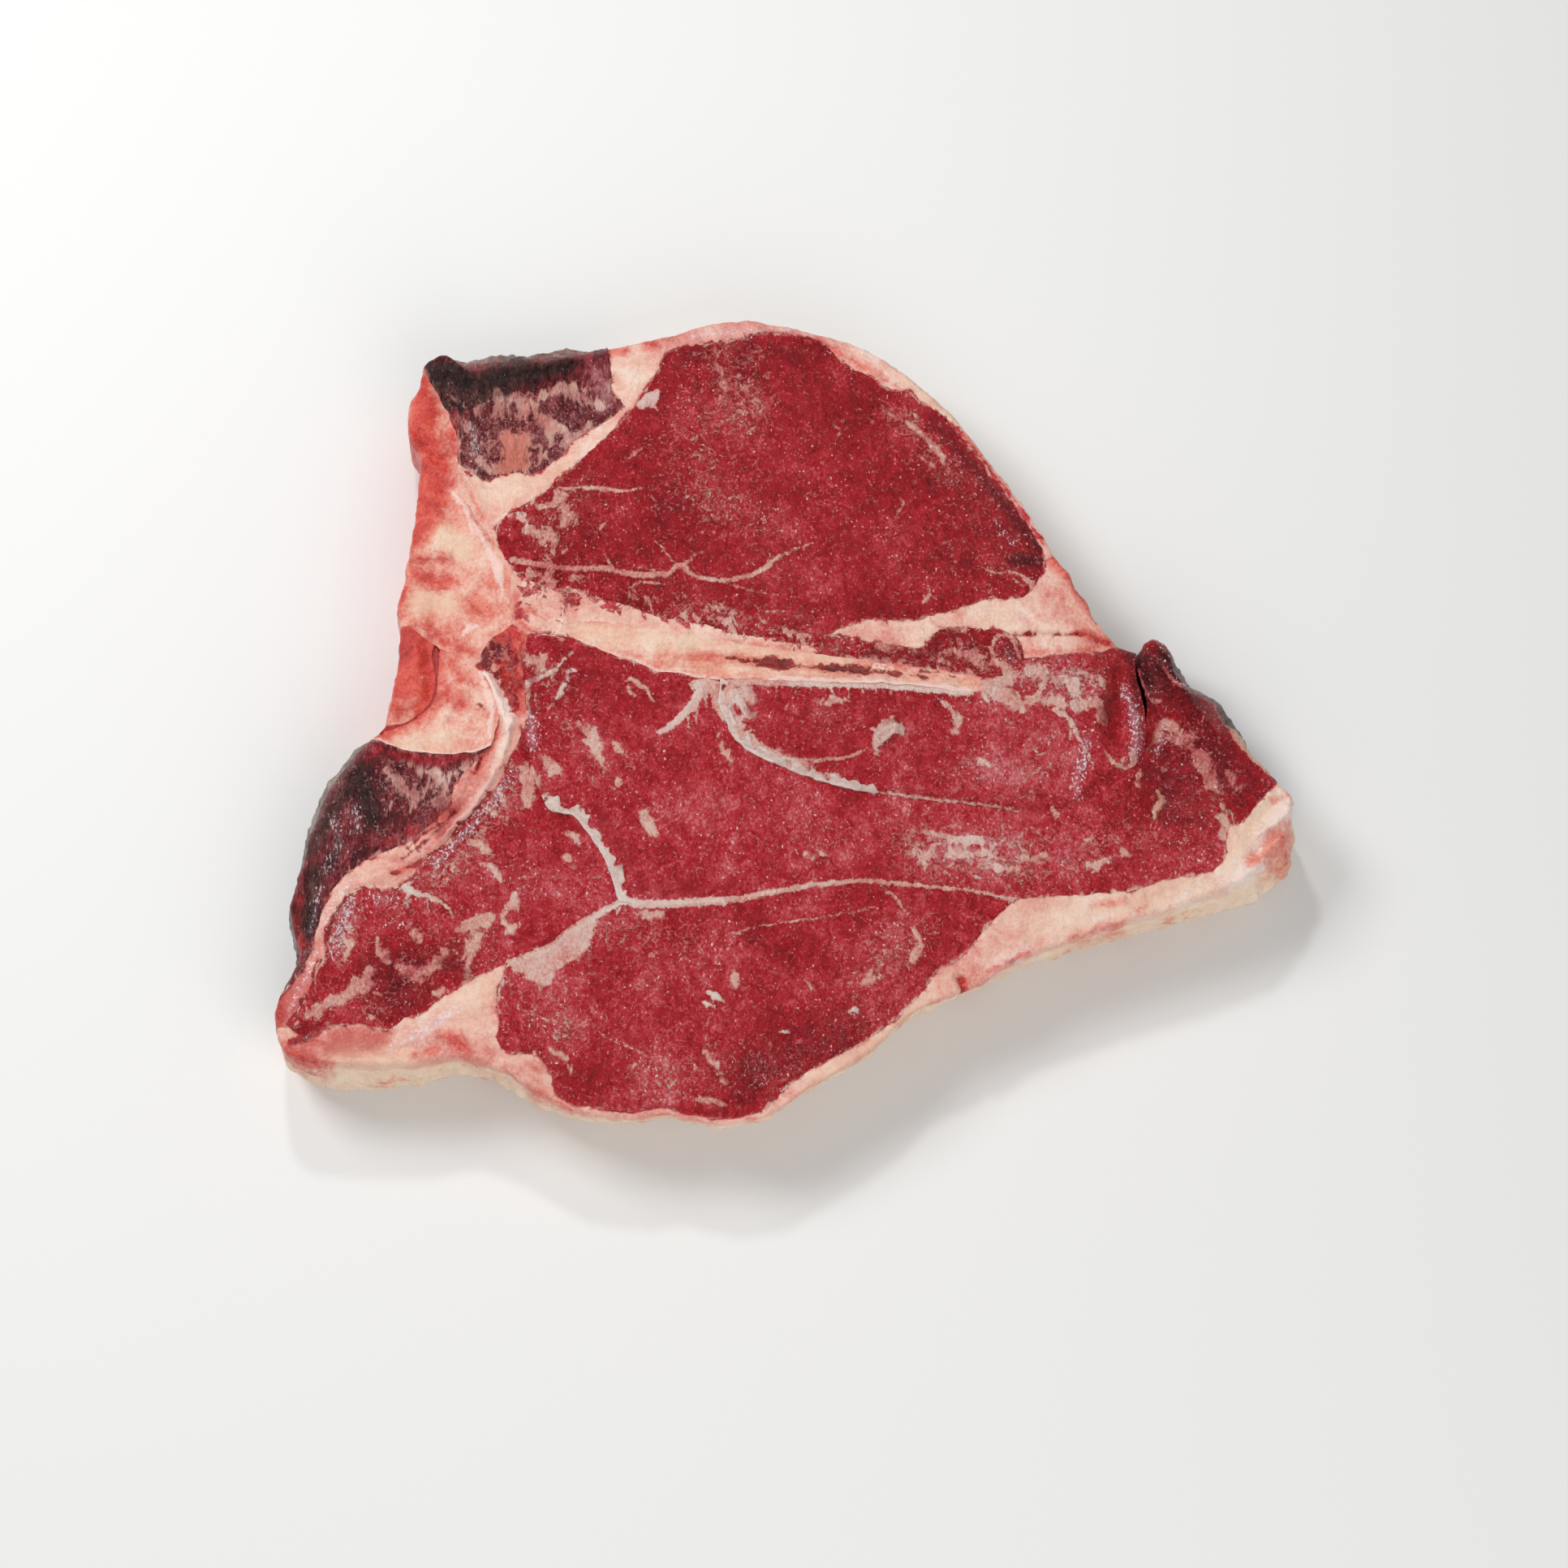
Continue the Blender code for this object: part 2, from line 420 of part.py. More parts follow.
def to_metres(plan, height):
    plan = (plan - PLAN_CENTRE) * PLAN_SCALE
    return np.column_stack([plan, np.broadcast_to(height, len(plan))]) * MM


def make_piece(name, seams, material, tilt, lines, wall):
    """One layer of the slice: a face, a wall in rings down to the table, and an underside."""
    outline = inset(walk_round(seams, lines), CLEARANCE / 2)
    points, triangles = fill_face(outline)
    top = wall.height(points, tilt, outline.mean(axis=0))
    mesh = bmesh.new()
    face = [mesh.verts.new(p) for p in to_metres(wall.moved(points, top), top)]
    rings = [face[: len(outline)]]
    for depth in WALL_DEPTHS[1:-1]:
        height = np.full(len(outline), THICKNESS * (1 - depth))
        rings.append([mesh.verts.new(p) for p in to_metres(wall.moved(outline, height), height)])
    under = [mesh.verts.new(p) for p in to_metres(wall.moved(points, np.zeros(len(points))), 0.0)]
    rings.append(under[: len(outline)])
    for triangle in triangles:
        mesh.faces.new([face[i] for i in triangle])
        mesh.faces.new([under[i] for i in reversed(triangle)])
    leftness = outline @ DIAGONAL_SIDE
    for upper, lower in zip(rings, rings[1:]):
        for i, _ in enumerate(upper):
            j = (i + 1) % len(upper)
            if leftness[i] < leftness[j]:
                mesh.faces.new([upper[i], lower[i], lower[j]])
                mesh.faces.new([upper[i], lower[j], upper[j]])
            else:
                mesh.faces.new([upper[i], lower[i], upper[j]])
                mesh.faces.new([upper[j], lower[i], lower[j]])
    data = bpy.data.meshes.new(name)
    mesh.to_mesh(data)
    mesh.free()
    data.materials.append(material)
    data.shade_smooth()
    data.set_sharp_from_angle(angle=math.radians(40))
    obj = bpy.data.objects.new(name, data)
    bpy.context.scene.collection.objects.link(obj)
    return obj


def main():
    clear_scene()
    materials = {name: make_material(name) for name in FINISHES}
    lines = {name: smooth_line(points, SEAM_STEP) for name, points in SEAMS.items()}
    wall = OuterWall(lines)
    for name, (seams, finish, tilt) in PIECES.items():
        make_piece(name, seams, materials[finish], tilt, lines, wall)


main()
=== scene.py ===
import functools
import math
import bpy
import bmesh
import numpy as np
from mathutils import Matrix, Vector


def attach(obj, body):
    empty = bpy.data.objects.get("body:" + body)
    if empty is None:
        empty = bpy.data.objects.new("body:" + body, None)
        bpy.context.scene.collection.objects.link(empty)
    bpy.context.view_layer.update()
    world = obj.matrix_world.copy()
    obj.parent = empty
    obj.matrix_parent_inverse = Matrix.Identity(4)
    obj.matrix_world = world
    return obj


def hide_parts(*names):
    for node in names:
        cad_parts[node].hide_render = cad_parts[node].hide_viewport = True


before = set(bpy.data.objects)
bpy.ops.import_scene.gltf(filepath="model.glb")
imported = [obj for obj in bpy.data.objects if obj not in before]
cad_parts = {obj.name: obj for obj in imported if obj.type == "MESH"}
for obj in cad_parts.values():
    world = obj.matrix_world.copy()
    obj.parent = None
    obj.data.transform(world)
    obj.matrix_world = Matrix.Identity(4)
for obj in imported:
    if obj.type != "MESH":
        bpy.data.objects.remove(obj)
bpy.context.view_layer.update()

# A raw loin steak on the bone. Every layer of the slice is one loft: its upper and lower edge on the
# cut face are chains of seams, and the face, both walls and the underside are stretched between them.
# Plan places are millimetres on the cut face, +X right, +Y away from the backfat.

mm = 0.001

# what all pieces share, in mm; a piece's own step, rings, round, crag or tornBase goes before the one here
slab = {
    "thickness": 28.0,
    "centre": (-0.45, 4.05),  # plan place of the frame's origin
    "swell": 0.5, "swellPitch": (145.0, 120.0),
    "blend": 5.0,             # width over which neighbours of different height meet
    "step": 0.55, "underStep": 1.8,  # grid of the cut face and of the underside
    "rings": 14,              # rows of the grid down a wall
    "round": 1.4,             # radius of the rim between face and wall
    "crag": [(0.5, 7.0, 1.0, 3)], "cragReach": 3.5,  # lumps of the wall: strength, size, flatness, octaves
    "torn": 0.5,              # how ragged a patch of fat is
    "fatRise": 0.22, "ledgeRise": 0.45,  # how far fat and torn edges stand above the lean
    "reach": 13.0,            # how far inwards the outer wall's lean is felt
    "blur": 5.0,              # how far along the outline its lean is evened out
    "tuck": 1.4,              # how far the wall draws in above the table
    "nubAt": (-100.5, 105.0), "nubRadius": 6.2,  # the dried stub at the upper left corner
    "nubRise": 6.5, "nubPush": 5.5,              # how far it stands up, and out
    "rough": [(0.4, 10.0), (0.18, 2.6)],  # strength and size of the cut face's unevenness
    "warp": 0.45, "warpSize": 4.0,  # how ragged every seam is, and the size of its wanderings
}

# meeting places of three or more pieces
spot = {
    "boneTop": (-104, 103), "crustEnd": (-53, 115.5), "pocketHeel": (-96, 79.5), "eyeHeel": (-83, 52),
    "eyeFoot": (-79.5, 46), "spineNotch": (-79, 29), "rootFork": (-74.5, 26), "fingerRoot": (-62, 25),
    "boneFatTip": (8, 22), "fingerWaist": (8, 20), "wedgeTip": (11, 26), "rimEnd": (72.8, 49),
    "rimEdgeEnd": (74.8, 50.5), "fingerTip": (53, 13), "stripEnd": (66, 18.5), "wedgeFoot": (93, 22.3),
    "cleftLeft": (97.8, 20.8), "cleftRight": (97.95, 20.85), "cleftFoot": (99.8, -1), "flapEnd": (136, -18),
    "capFork": (62, -53.2), "heart": (-48, -53.5), "capNotch": (-78, -71), "tailInner": (-138, -90),
    "tailOuter": (-141.5, -90), "tailTop": (-141.5, -82), "gristleFork": (-76, -5),
    "socketBack": (-84.5, -7.5), "socketTop": (-89.3, 16.2), "jointRight": (-99.6, 21.9),
    "jointLeft": (-101, 23.6), "knobTop": (-111, 28), "knobFoot": (-113.5, -1.5),
    "socketFoot": (-115.5, -3.8), "darkTop": (-117, -5.5), "fingerSaddle": (-20, 12.5),
}

# every seam: the spot it starts at, the places it passes, the spot it ends at
seams = {
    # outer edge, anticlockwise from the top of the bone
    "chineEdge": ("boneTop", [(-108, 101.5), (-110.2, 98.5), (-110, 88), (-106.8, 81.5), (-107, 73),
                  (-108, 60), (-109.2, 51), (-110.5, 43), (-112, 35)], "knobTop"),
    "knobEdge": ("knobTop", [(-111.3, 18), (-112.2, 11), (-113.2, 4)], "knobFoot"),
    "socketEdge": ("socketFoot", [], "darkTop"),
    "darkEdge": ("darkTop", [(-120.5, -9), (-124, -15), (-128, -21), (-131, -28), (-133.5, -34),
                 (-135, -41), (-138.5, -53), (-138, -60), (-136.5, -66), (-136.5, -71)], "tailTop"),
    "tailEdge": ("tailTop", [(-142, -86)], "tailOuter"),
    "capEdge": ("tailOuter", [(-140, -95), (-136, -98.5), (-129, -100), (-115, -100.5), (-103, -100.5),
                (-96, -99), (-90, -98.5), (-84, -100), (-78, -102.5), (-72, -106.5), (-66, -110.5),
                (-60, -113.3), (-52, -115), (-43, -115.8), (-35, -115), (-28, -116.5), (-20, -117.8),
                (-12, -117), (-5, -114.5), (5, -107.5), (16, -101), (22, -96.8), (31, -88), (36, -84.5),
                (50, -78.5), (62, -71), (76, -65.5), (95, -58.8), (112, -53), (120, -50), (127, -46.5),
                (133, -40), (137, -33), (139.5, -27), (139.5, -22)], "flapEnd"),
    "flapEdge": ("flapEnd", [(131, -12), (127, -8), (120, 0), (117, 5), (110, 10.5), (108, 15),
                 (106.5, 21), (104, 24.6), (101, 24.8)], "cleftRight"),
    "sideEdge": ("cleftLeft", [(95, 21.5)], "wedgeFoot"),
    "wedgeEdge": ("wedgeFoot", [(90, 25.5), (87, 28.5), (84, 36.5), (81, 40.5), (79.5, 44.5)], "rimEdgeEnd"),
    "rimEdge": ("rimEdgeEnd", [(70.5, 60), (62.5, 72), (53.5, 85), (46.5, 94.5), (36.5, 104.5), (27, 112),
                (18, 117), (3, 121.5), (-10, 124.5), (-16, 124.8), (-22, 124.2), (-34, 120.3)], "crustEnd"),
    "pocketEdge": ("crustEnd", [(-58, 113.5), (-66, 112.5), (-80, 110.3), (-97, 107.5)], "boneTop"),
    # around the bones
    "chinePocket": ("boneTop", [(-101, 99), (-98, 92), (-96, 86)], "pocketHeel"),
    "chineUpper": ("pocketHeel", [(-95.5, 72), (-92.5, 66), (-89, 60)], "eyeHeel"),
    "chineEye": ("eyeHeel", [], "eyeFoot"),
    "chineBonefat": ("eyeFoot", [(-80, 38)], "spineNotch"),
    "chineGristle": ("spineNotch", [(-82, 27), (-85, 24.5), (-87.3, 21)], "socketTop"),
    "chineSocket": ("socketTop", [(-94, 19)], "jointRight"),
    "chineGap": ("jointRight", [], "jointLeft"),
    "chineKnob": ("jointLeft", [(-103, 27), (-105.5, 28.8), (-108.5, 28.6)], "knobTop"),
    "knobFace": ("jointLeft", [(-101.8, 20), (-100.7, 14), (-100.7, 9.5), (-102, 5.5), (-105, 2),
                 (-109, -0.5)], "knobFoot"),
    "jointFoot": ("socketFoot", [], "knobFoot"),
    "socketFace": ("jointRight", [(-99.9, 14), (-100.0, 8.8), (-101.5, 4.9), (-104.5, 1.6), (-108.6, -1.2)],
                   "socketFoot"),
    "socketGristle": ("socketTop", [(-86, 12), (-83.8, 7), (-82.5, 1)], "socketBack"),
    "socketDark": ("socketBack", [(-88, -9.3), (-95, -10.3), (-103, -9.8), (-109, -8.8)], "darkTop"),
    "fingerBonefat": ("fingerRoot", [(-64.3, 27.3), (-62.5, 29.5), (-57, 30), (-48, 29.3), (-28, 25.6),
                      (-6, 21.9)], "fingerWaist"),
    "fingerStrip": ("fingerWaist", [(18, 18.5), (30, 16.8), (42, 15)], "fingerTip"),
    "fingerSide": ("fingerTip", [(54, 10.5), (52, 8.3), (44, 8.8), (34, 10.2), (5, 11.2)], "fingerSaddle"),
    "fingerCentre": ("fingerSaddle", [(-27, 13.5), (-31, 14.8), (-38, 15), (-41.5, 17), (-50, 20)],
                     "fingerRoot"),
    # around the fat
    "pocketUpper": ("pocketHeel", [(-93.5, 77), (-90, 75), (-86.5, 74.3), (-83, 76.2), (-74, 76.5),
                    (-69.5, 79), (-62, 87), (-57, 90.3), (-52, 93.5), (-48.5, 97.5), (-50.5, 100.3),
                    (-52.2, 103), (-52, 108)], "crustEnd"),
    "eyeUpper": ("rimEnd", [(71, 53.5), (64.5, 65.5), (56.5, 77.3), (48, 89), (45, 93), (37, 98.8),
                 (34.5, 101.2), (29.5, 102), (24, 105.5), (15.5, 110.5), (8.5, 117.8), (3, 119.5),
                 (-4, 120.5), (-11, 119.8), (-18, 118), (-26, 117), (-35, 114.8), (-38, 110.5),
                 (-40.5, 105), (-47.5, 94.5), (-57, 83.5), (-66.5, 74.5), (-71.5, 69.5), (-76, 66.3),
                 (-81, 63.3), (-84.3, 59.5)], "eyeHeel"),
    "upperWedge": ("rimEnd", [], "rimEdgeEnd"),
    "eyeBonefat": ("eyeFoot", [(-75, 43), (-70, 40.5), (-59, 39.5), (-55, 37), (-48, 35.3), (-42, 33),
                   (-35, 30.6), (-26, 29.3), (-18, 27), (-8, 25)], "boneFatTip"),
    "bonefatStrip": ("boneFatTip", [], "fingerWaist"),
    "bonefatCentre": ("rootFork", [(-68, 25.6)], "fingerRoot"),
    "bonefatGristle": ("spineNotch", [], "rootFork"),
    "eyeStrip": ("boneFatTip", [], "wedgeTip"),
    "eyeWedge": ("wedgeTip", [(16, 28.7), (24.5, 31), (29, 30.2), (36, 31), (51, 35), (57, 37.3),
                 (62, 36.7), (67, 38), (71.5, 45)], "rimEnd"),
    "stripWedge": ("wedgeTip", [(18, 25), (33, 22.3), (38, 22.3), (40.5, 26.5), (44, 28), (61, 26.8),
                   (65, 23.5)], "stripEnd"),
    "stripSide": ("stripEnd", [(64.5, 14.5), (60, 13.5)], "fingerTip"),
    "wedgeSide": ("stripEnd", [(72, 19), (80, 20.3), (87, 20.7)], "wedgeFoot"),
    "darkGristle": ("socketBack", [(-91.5, -15.5), (-94.5, -20), (-95.5, -25), (-98, -28.5), (-107, -36),
                    (-118.5, -41.5), (-123.5, -45.5), (-127.5, -50.5), (-130, -56), (-131.5, -63),
                    (-133.5, -70), (-137, -77)], "tailTop"),
    "gristleCentre": ("rootFork", [(-76, 18), (-74.8, 10), (-74, 3)], "gristleFork"),
    "gristleLeft": ("gristleFork", [(-79, -12), (-81.5, -18), (-88, -26), (-97, -36.5), (-102, -41.5),
                    (-106, -46.5), (-110, -49.5), (-117, -49.5), (-122, -51.5), (-125.8, -55.5),
                    (-127.8, -62), (-129.5, -70), (-135, -84)], "tailInner"),
    "gristleCap": ("tailInner", [], "tailOuter"),
    "leftCap": ("tailInner", [(-134, -92.5), (-130, -91.5), (-124, -89.3), (-118, -89), (-112, -91),
                (-108.5, -89.2), (-105.5, -86.8), (-102, -86.3), (-96, -81), (-88, -75.8)], "capNotch"),
    "bottomCap": ("capNotch", [(-79.3, -75), (-80.8, -80), (-80.3, -88), (-80.5, -94), (-77.5, -97.3),
                  (-72, -97.6), (-68, -99.5), (-66, -103), (-64.5, -108), (-61, -111.3), (-54, -112.8),
                  (-44, -113.8), (-35, -113.2), (-28, -114.8), (-20, -116), (-12, -115), (-6, -112.3),
                  (-1.5, -107.5), (8, -100.5), (19, -94.5), (30, -86.5), (37, -78.5), (40.5, -73.5),
                  (45, -71.2), (48.5, -68), (55.5, -59.5)], "capFork"),
    "centreCap": ("capFork", [(70, -52), (80, -51.8), (98, -49.8), (104, -47.2), (117, -44.5),
                  (120.5, -41), (121, -35), (122.5, -31.5), (126, -30)], "flapEnd"),
    # between the muscles
    "leftBottom": ("capNotch", [(-66, -65.8), (-62, -62.3), (-53, -56.5)], "heart"),
    "leftCentre": ("heart", [(-51, -43), (-57.5, -32), (-61, -28), (-67, -26.5), (-70, -22), (-73, -14)],
                   "gristleFork"),
    "centreBottom": ("heart", [(-44, -54.7), (-36, -55), (-16, -53.5), (0, -50), (20, -47.6),
                     (30, -48.3), (42, -49.5), (52, -50.7)], "capFork"),
    "sideCentre": ("fingerSaddle", [(-20.5, 6), (-18.5, 0), (-15.5, -6), (-10, -10.3), (5, -17),
                   (13, -19.7), (30, -22.8), (52, -25.5), (64, -27.5), (74, -27), (81, -24.5),
                   (86, -19.5), (91, -15.8), (96.5, -13), (99.2, -8)], "cleftFoot"),
    "sideCleft": ("cleftFoot", [(99.3, 5), (97.9, 11), (97.5, 16)], "cleftLeft"),
    "flapCleft": ("cleftFoot", [(100.2, 5), (99.2, 11), (97.75, 16)], "cleftRight"),
}

# how far the outer wall leans out at half depth and at the table: share of the seam, half, foot
leans = {
    "chineEdge": [(0, 1.0, 0.5), (0.3, 0.3, 0), (1, 0.3, 0)],
    "knobEdge": [(0, 0.3, 0), (0.5, 0.5, 0), (1, 3.0, 3.0)],
    "socketEdge": [(0, 3.5, 3.0), (1, 4.0, 3.0)],
    "darkEdge": [(0, 4.5, 3.0), (0.15, 6.0, 4.0), (0.35, 5.0, 3.0), (0.6, 1.0, -0.5), (1, 0.5, 0)],
    "tailEdge": [(0, 0.5, 0), (1, 0.5, 0)],
    "capEdge": [(0, 0, -1.0), (0.03, 0.3, -2.5), (0.06, 3.2, -0.5), (0.09, 3.2, -1.7),
                (0.12, 0.7, -3.5), (0.24, 0.4, -4.0), (0.3, -2.5, -7.0), (0.42, -3.7, -8.6),
                (0.55, -2.8, -6.8), (0.62, -3.1, -7.6), (0.72, -1.4, -6.0), (0.78, 0.1, -4.8),
                (0.87, 0.8, -4.0), (0.91, 4.0, 0.5), (0.94, 6.8, 4.3), (0.97, 1.5, 0.5), (1, 0.5, 0)],
    "flapEdge": [(0, 0.5, 0), (0.15, 2.5, 0.5), (0.3, 7.5, 4.0), (0.45, 7.0, 4.0), (0.6, 5.5, 2.5),
                 (0.8, 5.0, 2.5), (0.95, 2.5, 1.0), (1, 1.0, 0)],
    "sideEdge": [(0, 0.6, 0), (1, 0.6, 0)],
    "wedgeEdge": [(0, 1.0, 0), (1, 1.0, 0)],
    "rimEdge": [(0, 0.8, -0.5), (0.8, 0.8, -1.0), (1, 2.5, 1.0)],
    "pocketEdge": [(0, 2.5, 1.0), (0.15, 8.5, 5.5), (0.85, 8.0, 5.0), (1, 1.5, 1.0)],
}


def smoothCurve(points, step=0.8):
    # centripetal Catmull-Rom curve through the points, read off at even distances
    points = np.array(points, float)
    if len(points) > 2:
        padded = np.vstack([2 * points[0] - points[1], points, 2 * points[-1] - points[-2]])
        p0, p1, p2, p3 = padded[:-3, None], padded[1:-2, None], padded[2:-1, None], padded[3:, None]
        knot = lambda a, b: np.sqrt(np.linalg.norm(b - a, axis=-1, keepdims=True))
        t1 = knot(p0, p1)
        t2 = t1 + knot(p1, p2)
        t3 = t2 + knot(p2, p3)
        t = t1 + (t2 - t1) * np.linspace(0, 1, 16, endpoint=False)[None, :, None]
        a1 = p0 + (p1 - p0) * t / t1
        a2 = p1 + (p2 - p1) * (t - t1) / (t2 - t1)
        a3 = p2 + (p3 - p2) * (t - t2) / (t3 - t2)
        b1 = a1 + (a2 - a1) * t / t2
        b2 = a2 + (a3 - a2) * (t - t1) / (t3 - t1)
        curve = b1 + (b2 - b1) * (t - t1) / (t2 - t1)
        points = np.vstack([curve.reshape(-1, 2), points[-1]])
    along = lengthAlong(points)
    wanted = np.linspace(0, along[-1], max(2, round(along[-1] / step)) + 1)
    return np.stack([np.interp(wanted, along, points[:, k]) for k in (0, 1)], axis=1)


def lengthAlong(points):
    # length run up at each point of a line, from 0
    return np.concatenate([[0], np.cumsum(np.linalg.norm(np.diff(points, axis=0), axis=1))])


seamLine = {name: smoothCurve([spot[a], *via, spot[b]]) for name, (a, via, b) in seams.items()}


def noise(x, y, z, size, seed=0):
    # gradient noise, about -1 to 1: random slopes at the corners of cubes of the size, blended smoothly
    p = np.stack(np.broadcast_arrays(x, y, z)).astype(float) / size
    cell = np.floor(p).astype(np.int64)
    f = p - cell
    ease = f * f * f * (f * (f * 6 - 15) + 10)
    total = np.zeros(p.shape[1:])
    for corner in range(8):
        step = [(corner >> k) & 1 for k in range(3)]
        mixed = ((cell[0] + step[0]) * 73856093) ^ ((cell[1] + step[1]) * 19349663)
        mixed = mixed ^ ((cell[2] + step[2]) * 83492791) ^ (seed * 2654435761)
        mixed = ((mixed ^ (mixed >> 13)) * 1274126177) & 0x7FFFFFFF
        mixed = mixed ^ (mixed >> 15)
        weight = 1.0
        slope = 0.0
        for k in range(3):
            slope = slope + (((mixed >> (9 * k)) & 511) / 255.5 - 1) * (f[k] - step[k])
            weight = weight * (ease[k] if step[k] else 1 - ease[k])
        total += slope * weight
    return total * 1.4


def layered(x, y, z, size, octaves=3, seed=0):
    # noise at the size, and at each half of it with half the strength
    return sum(noise(x, y, z, size / 2**k, seed + 7 * k) / 2**k for k in range(octaves))


def ease(value, low, high):
    # 0 below low, 1 above high, smooth between
    t = np.clip((value - low) / (high - low), 0, 1)
    return t * t * (3 - 2 * t)


def pathOf(path):
    # a seam by name, or a curve through the places given
    return seamLine[path] if isinstance(path, str) else smoothCurve(path, 1.2)


def runDistance(x, y, a, b):
    # nearest place on the straight run from a to b: its share of the run, and the distance to it
    run = b - a
    share = np.clip(((x - a[0]) * run[0] + (y - a[1]) * run[1]) / max(run @ run, 1e-9), 0, 1)
    return share, np.hypot(x - a[0] - share * run[0], y - a[1] - share * run[1])


def outlineDistance(x, y, outline):
    # distance to a chain of straight runs, at most 40
    away = np.full(x.shape, 40.0)
    for a, b in zip(outline, outline[1:]):
        away = np.minimum(away, runDistance(x, y, a, b)[1])
    return away


def nearby(x, y, path, reach):
    # whether a place is in the path's box, widened by the reach
    low, high = path.min(0) - reach, path.max(0) + reach
    return (x > low[0]) & (x < high[0]) & (y > low[1]) & (y < high[1])


def strokeField(x, y, strokes):
    # how far inside the nearest stroke a place is, in mm: half width less distance, highest of all, and
    # -9 where no stroke is near
    field = np.full(x.shape, -9.0)
    for half, path in strokes:
        path = pathOf(path)
        halves = np.interp(np.linspace(0, 1, len(path)), np.linspace(0, 1, np.size(half)), np.ravel(half))
        near = nearby(x, y, path, 9 + halves.max())
        if not near.any():
            continue
        nx, ny = x[near], y[near]
        best = np.full(nx.shape, -9.0)
        for a, b, ha, hb in zip(path, path[1:], halves, halves[1:]):
            share, away = runDistance(nx, ny, a, b)
            best = np.maximum(best, ha + (hb - ha) * share - away)
        field[near] = np.maximum(field[near], best)
    return field


def soften(x, y, blobs):
    # sum of soft spots: strength times a bell curve of the distance from the blob's line
    total = np.zeros(x.shape)
    for strength, radius, path in blobs:
        path = seamLine[path] if isinstance(path, str) else path
        path = np.array(path if len(path) > 1 else [path[0], path[0]], float)
        near = nearby(x, y, path, 3 * radius)
        away = outlineDistance(x[near], y[near], path)
        total[near] += strength * np.exp(-((away / radius) ** 2))
    return total


def edgeNet(cell=2.0):
    # The outer wall's lean, worked out once on a coarse net over the plan. Each net place takes the mean
    # of the outline's leans and outward ways, weighted by a bell curve of how much farther they are than
    # the nearest of them.
    places, push, facing = [], [], []
    for name, table in leans.items():
        line = seamLine[name]
        middle = (line[1:] + line[:-1]) / 2
        run = np.diff(line, axis=0)
        out = np.stack([run[:, 1], -run[:, 0]], axis=1)
        out /= np.linalg.norm(out, axis=1, keepdims=True)
        share = np.linspace(0, 1, len(middle))
        knots, half, foot = zip(*table)
        places.append(middle)
        push.append(np.stack([np.interp(share, knots, half), np.interp(share, knots, foot)], axis=1))
        facing.append(out)
    places, push, facing = np.vstack(places), np.vstack(push), np.vstack(facing)
    xs = np.arange(-160, 162, cell)
    ys = np.arange(-140, 142, cell)
    gx, gy = np.meshgrid(xs, ys, indexing="ij")
    away = np.hypot(gx[..., None] - places[:, 0], gy[..., None] - places[:, 1])
    nearest = away.min(axis=2)
    weight = np.exp(-((away - nearest[..., None]) ** 2) / (2 * slab["blur"] ** 2))
    weight /= weight.sum(axis=2, keepdims=True)
    half = weight @ (push[:, :1] * facing)
    foot = weight @ (push[:, 1:] * facing)
    out = weight @ facing
    return {"x0": xs[0], "y0": ys[0], "cell": cell,
            "values": np.concatenate([nearest[..., None], half, foot, out], axis=2)}


net = edgeNet()
print("outer wall worked out")


def readNet(x, y):
    # bilinear reading of the net: distance from the edge, lean at half depth, at the table, outward way
    u = (x - net["x0"]) / net["cell"]
    v = (y - net["y0"]) / net["cell"]
    i = np.clip(u.astype(int), 0, net["values"].shape[0] - 2)
    j = np.clip(v.astype(int), 0, net["values"].shape[1] - 2)
    fu, fv = (u - i)[..., None], (v - j)[..., None]
    n = net["values"]
    near, far = n[i, j] * (1 - fu) + n[i + 1, j] * fu, n[i, j + 1] * (1 - fu) + n[i + 1, j + 1] * fu
    found = near * (1 - fv) + far * fv
    return found[..., 0], found[..., 1:3], found[..., 3:5], found[..., 5:7]


def nubShare(x, y):
    # 1 at the middle of the dried stub, falling to 0 round it as a flat-topped bell
    spread = (x - slab["nubAt"][0]) ** 2 + (y - slab["nubAt"][1]) ** 2
    return np.exp(-((spread / slab["nubRadius"] ** 2) ** 1.6))


def leaned(x, y, depth):
    # where the side has a place of the cut face, at a depth from 0 to 1
    away, half, foot, out = readNet(x, y)
    fade = np.exp(-((away / slab["reach"]) ** 2))[..., None]
    bulge, slant = (4 * depth * (1 - depth))[..., None], (depth * (2 * depth - 1))[..., None]
    tuck = slab["tuck"] * np.clip((depth - 0.72) / 0.28, 0, 1)[..., None]
    nub = (slab["nubPush"] * nubShare(x, y) * (1 - depth))[..., None]
    moved = half * bulge * fade + foot * slant * fade + out * (nub - tuck * fade)
    return x + moved[..., 0], y + moved[..., 1], out


def chain(names, start):
    # joins seams end to end from the start spot, turning round each that runs the other way
    here = np.array(spot[start], float)
    line = [here[None]]
    for name in names:
        part = seamLine[name]
        if np.linalg.norm(part[0] - here) > np.linalg.norm(part[-1] - here):
            part = part[::-1]
        line.append(part[1:] if np.allclose(part[0], here) else part)
        here = part[-1]
    return np.vstack(line)


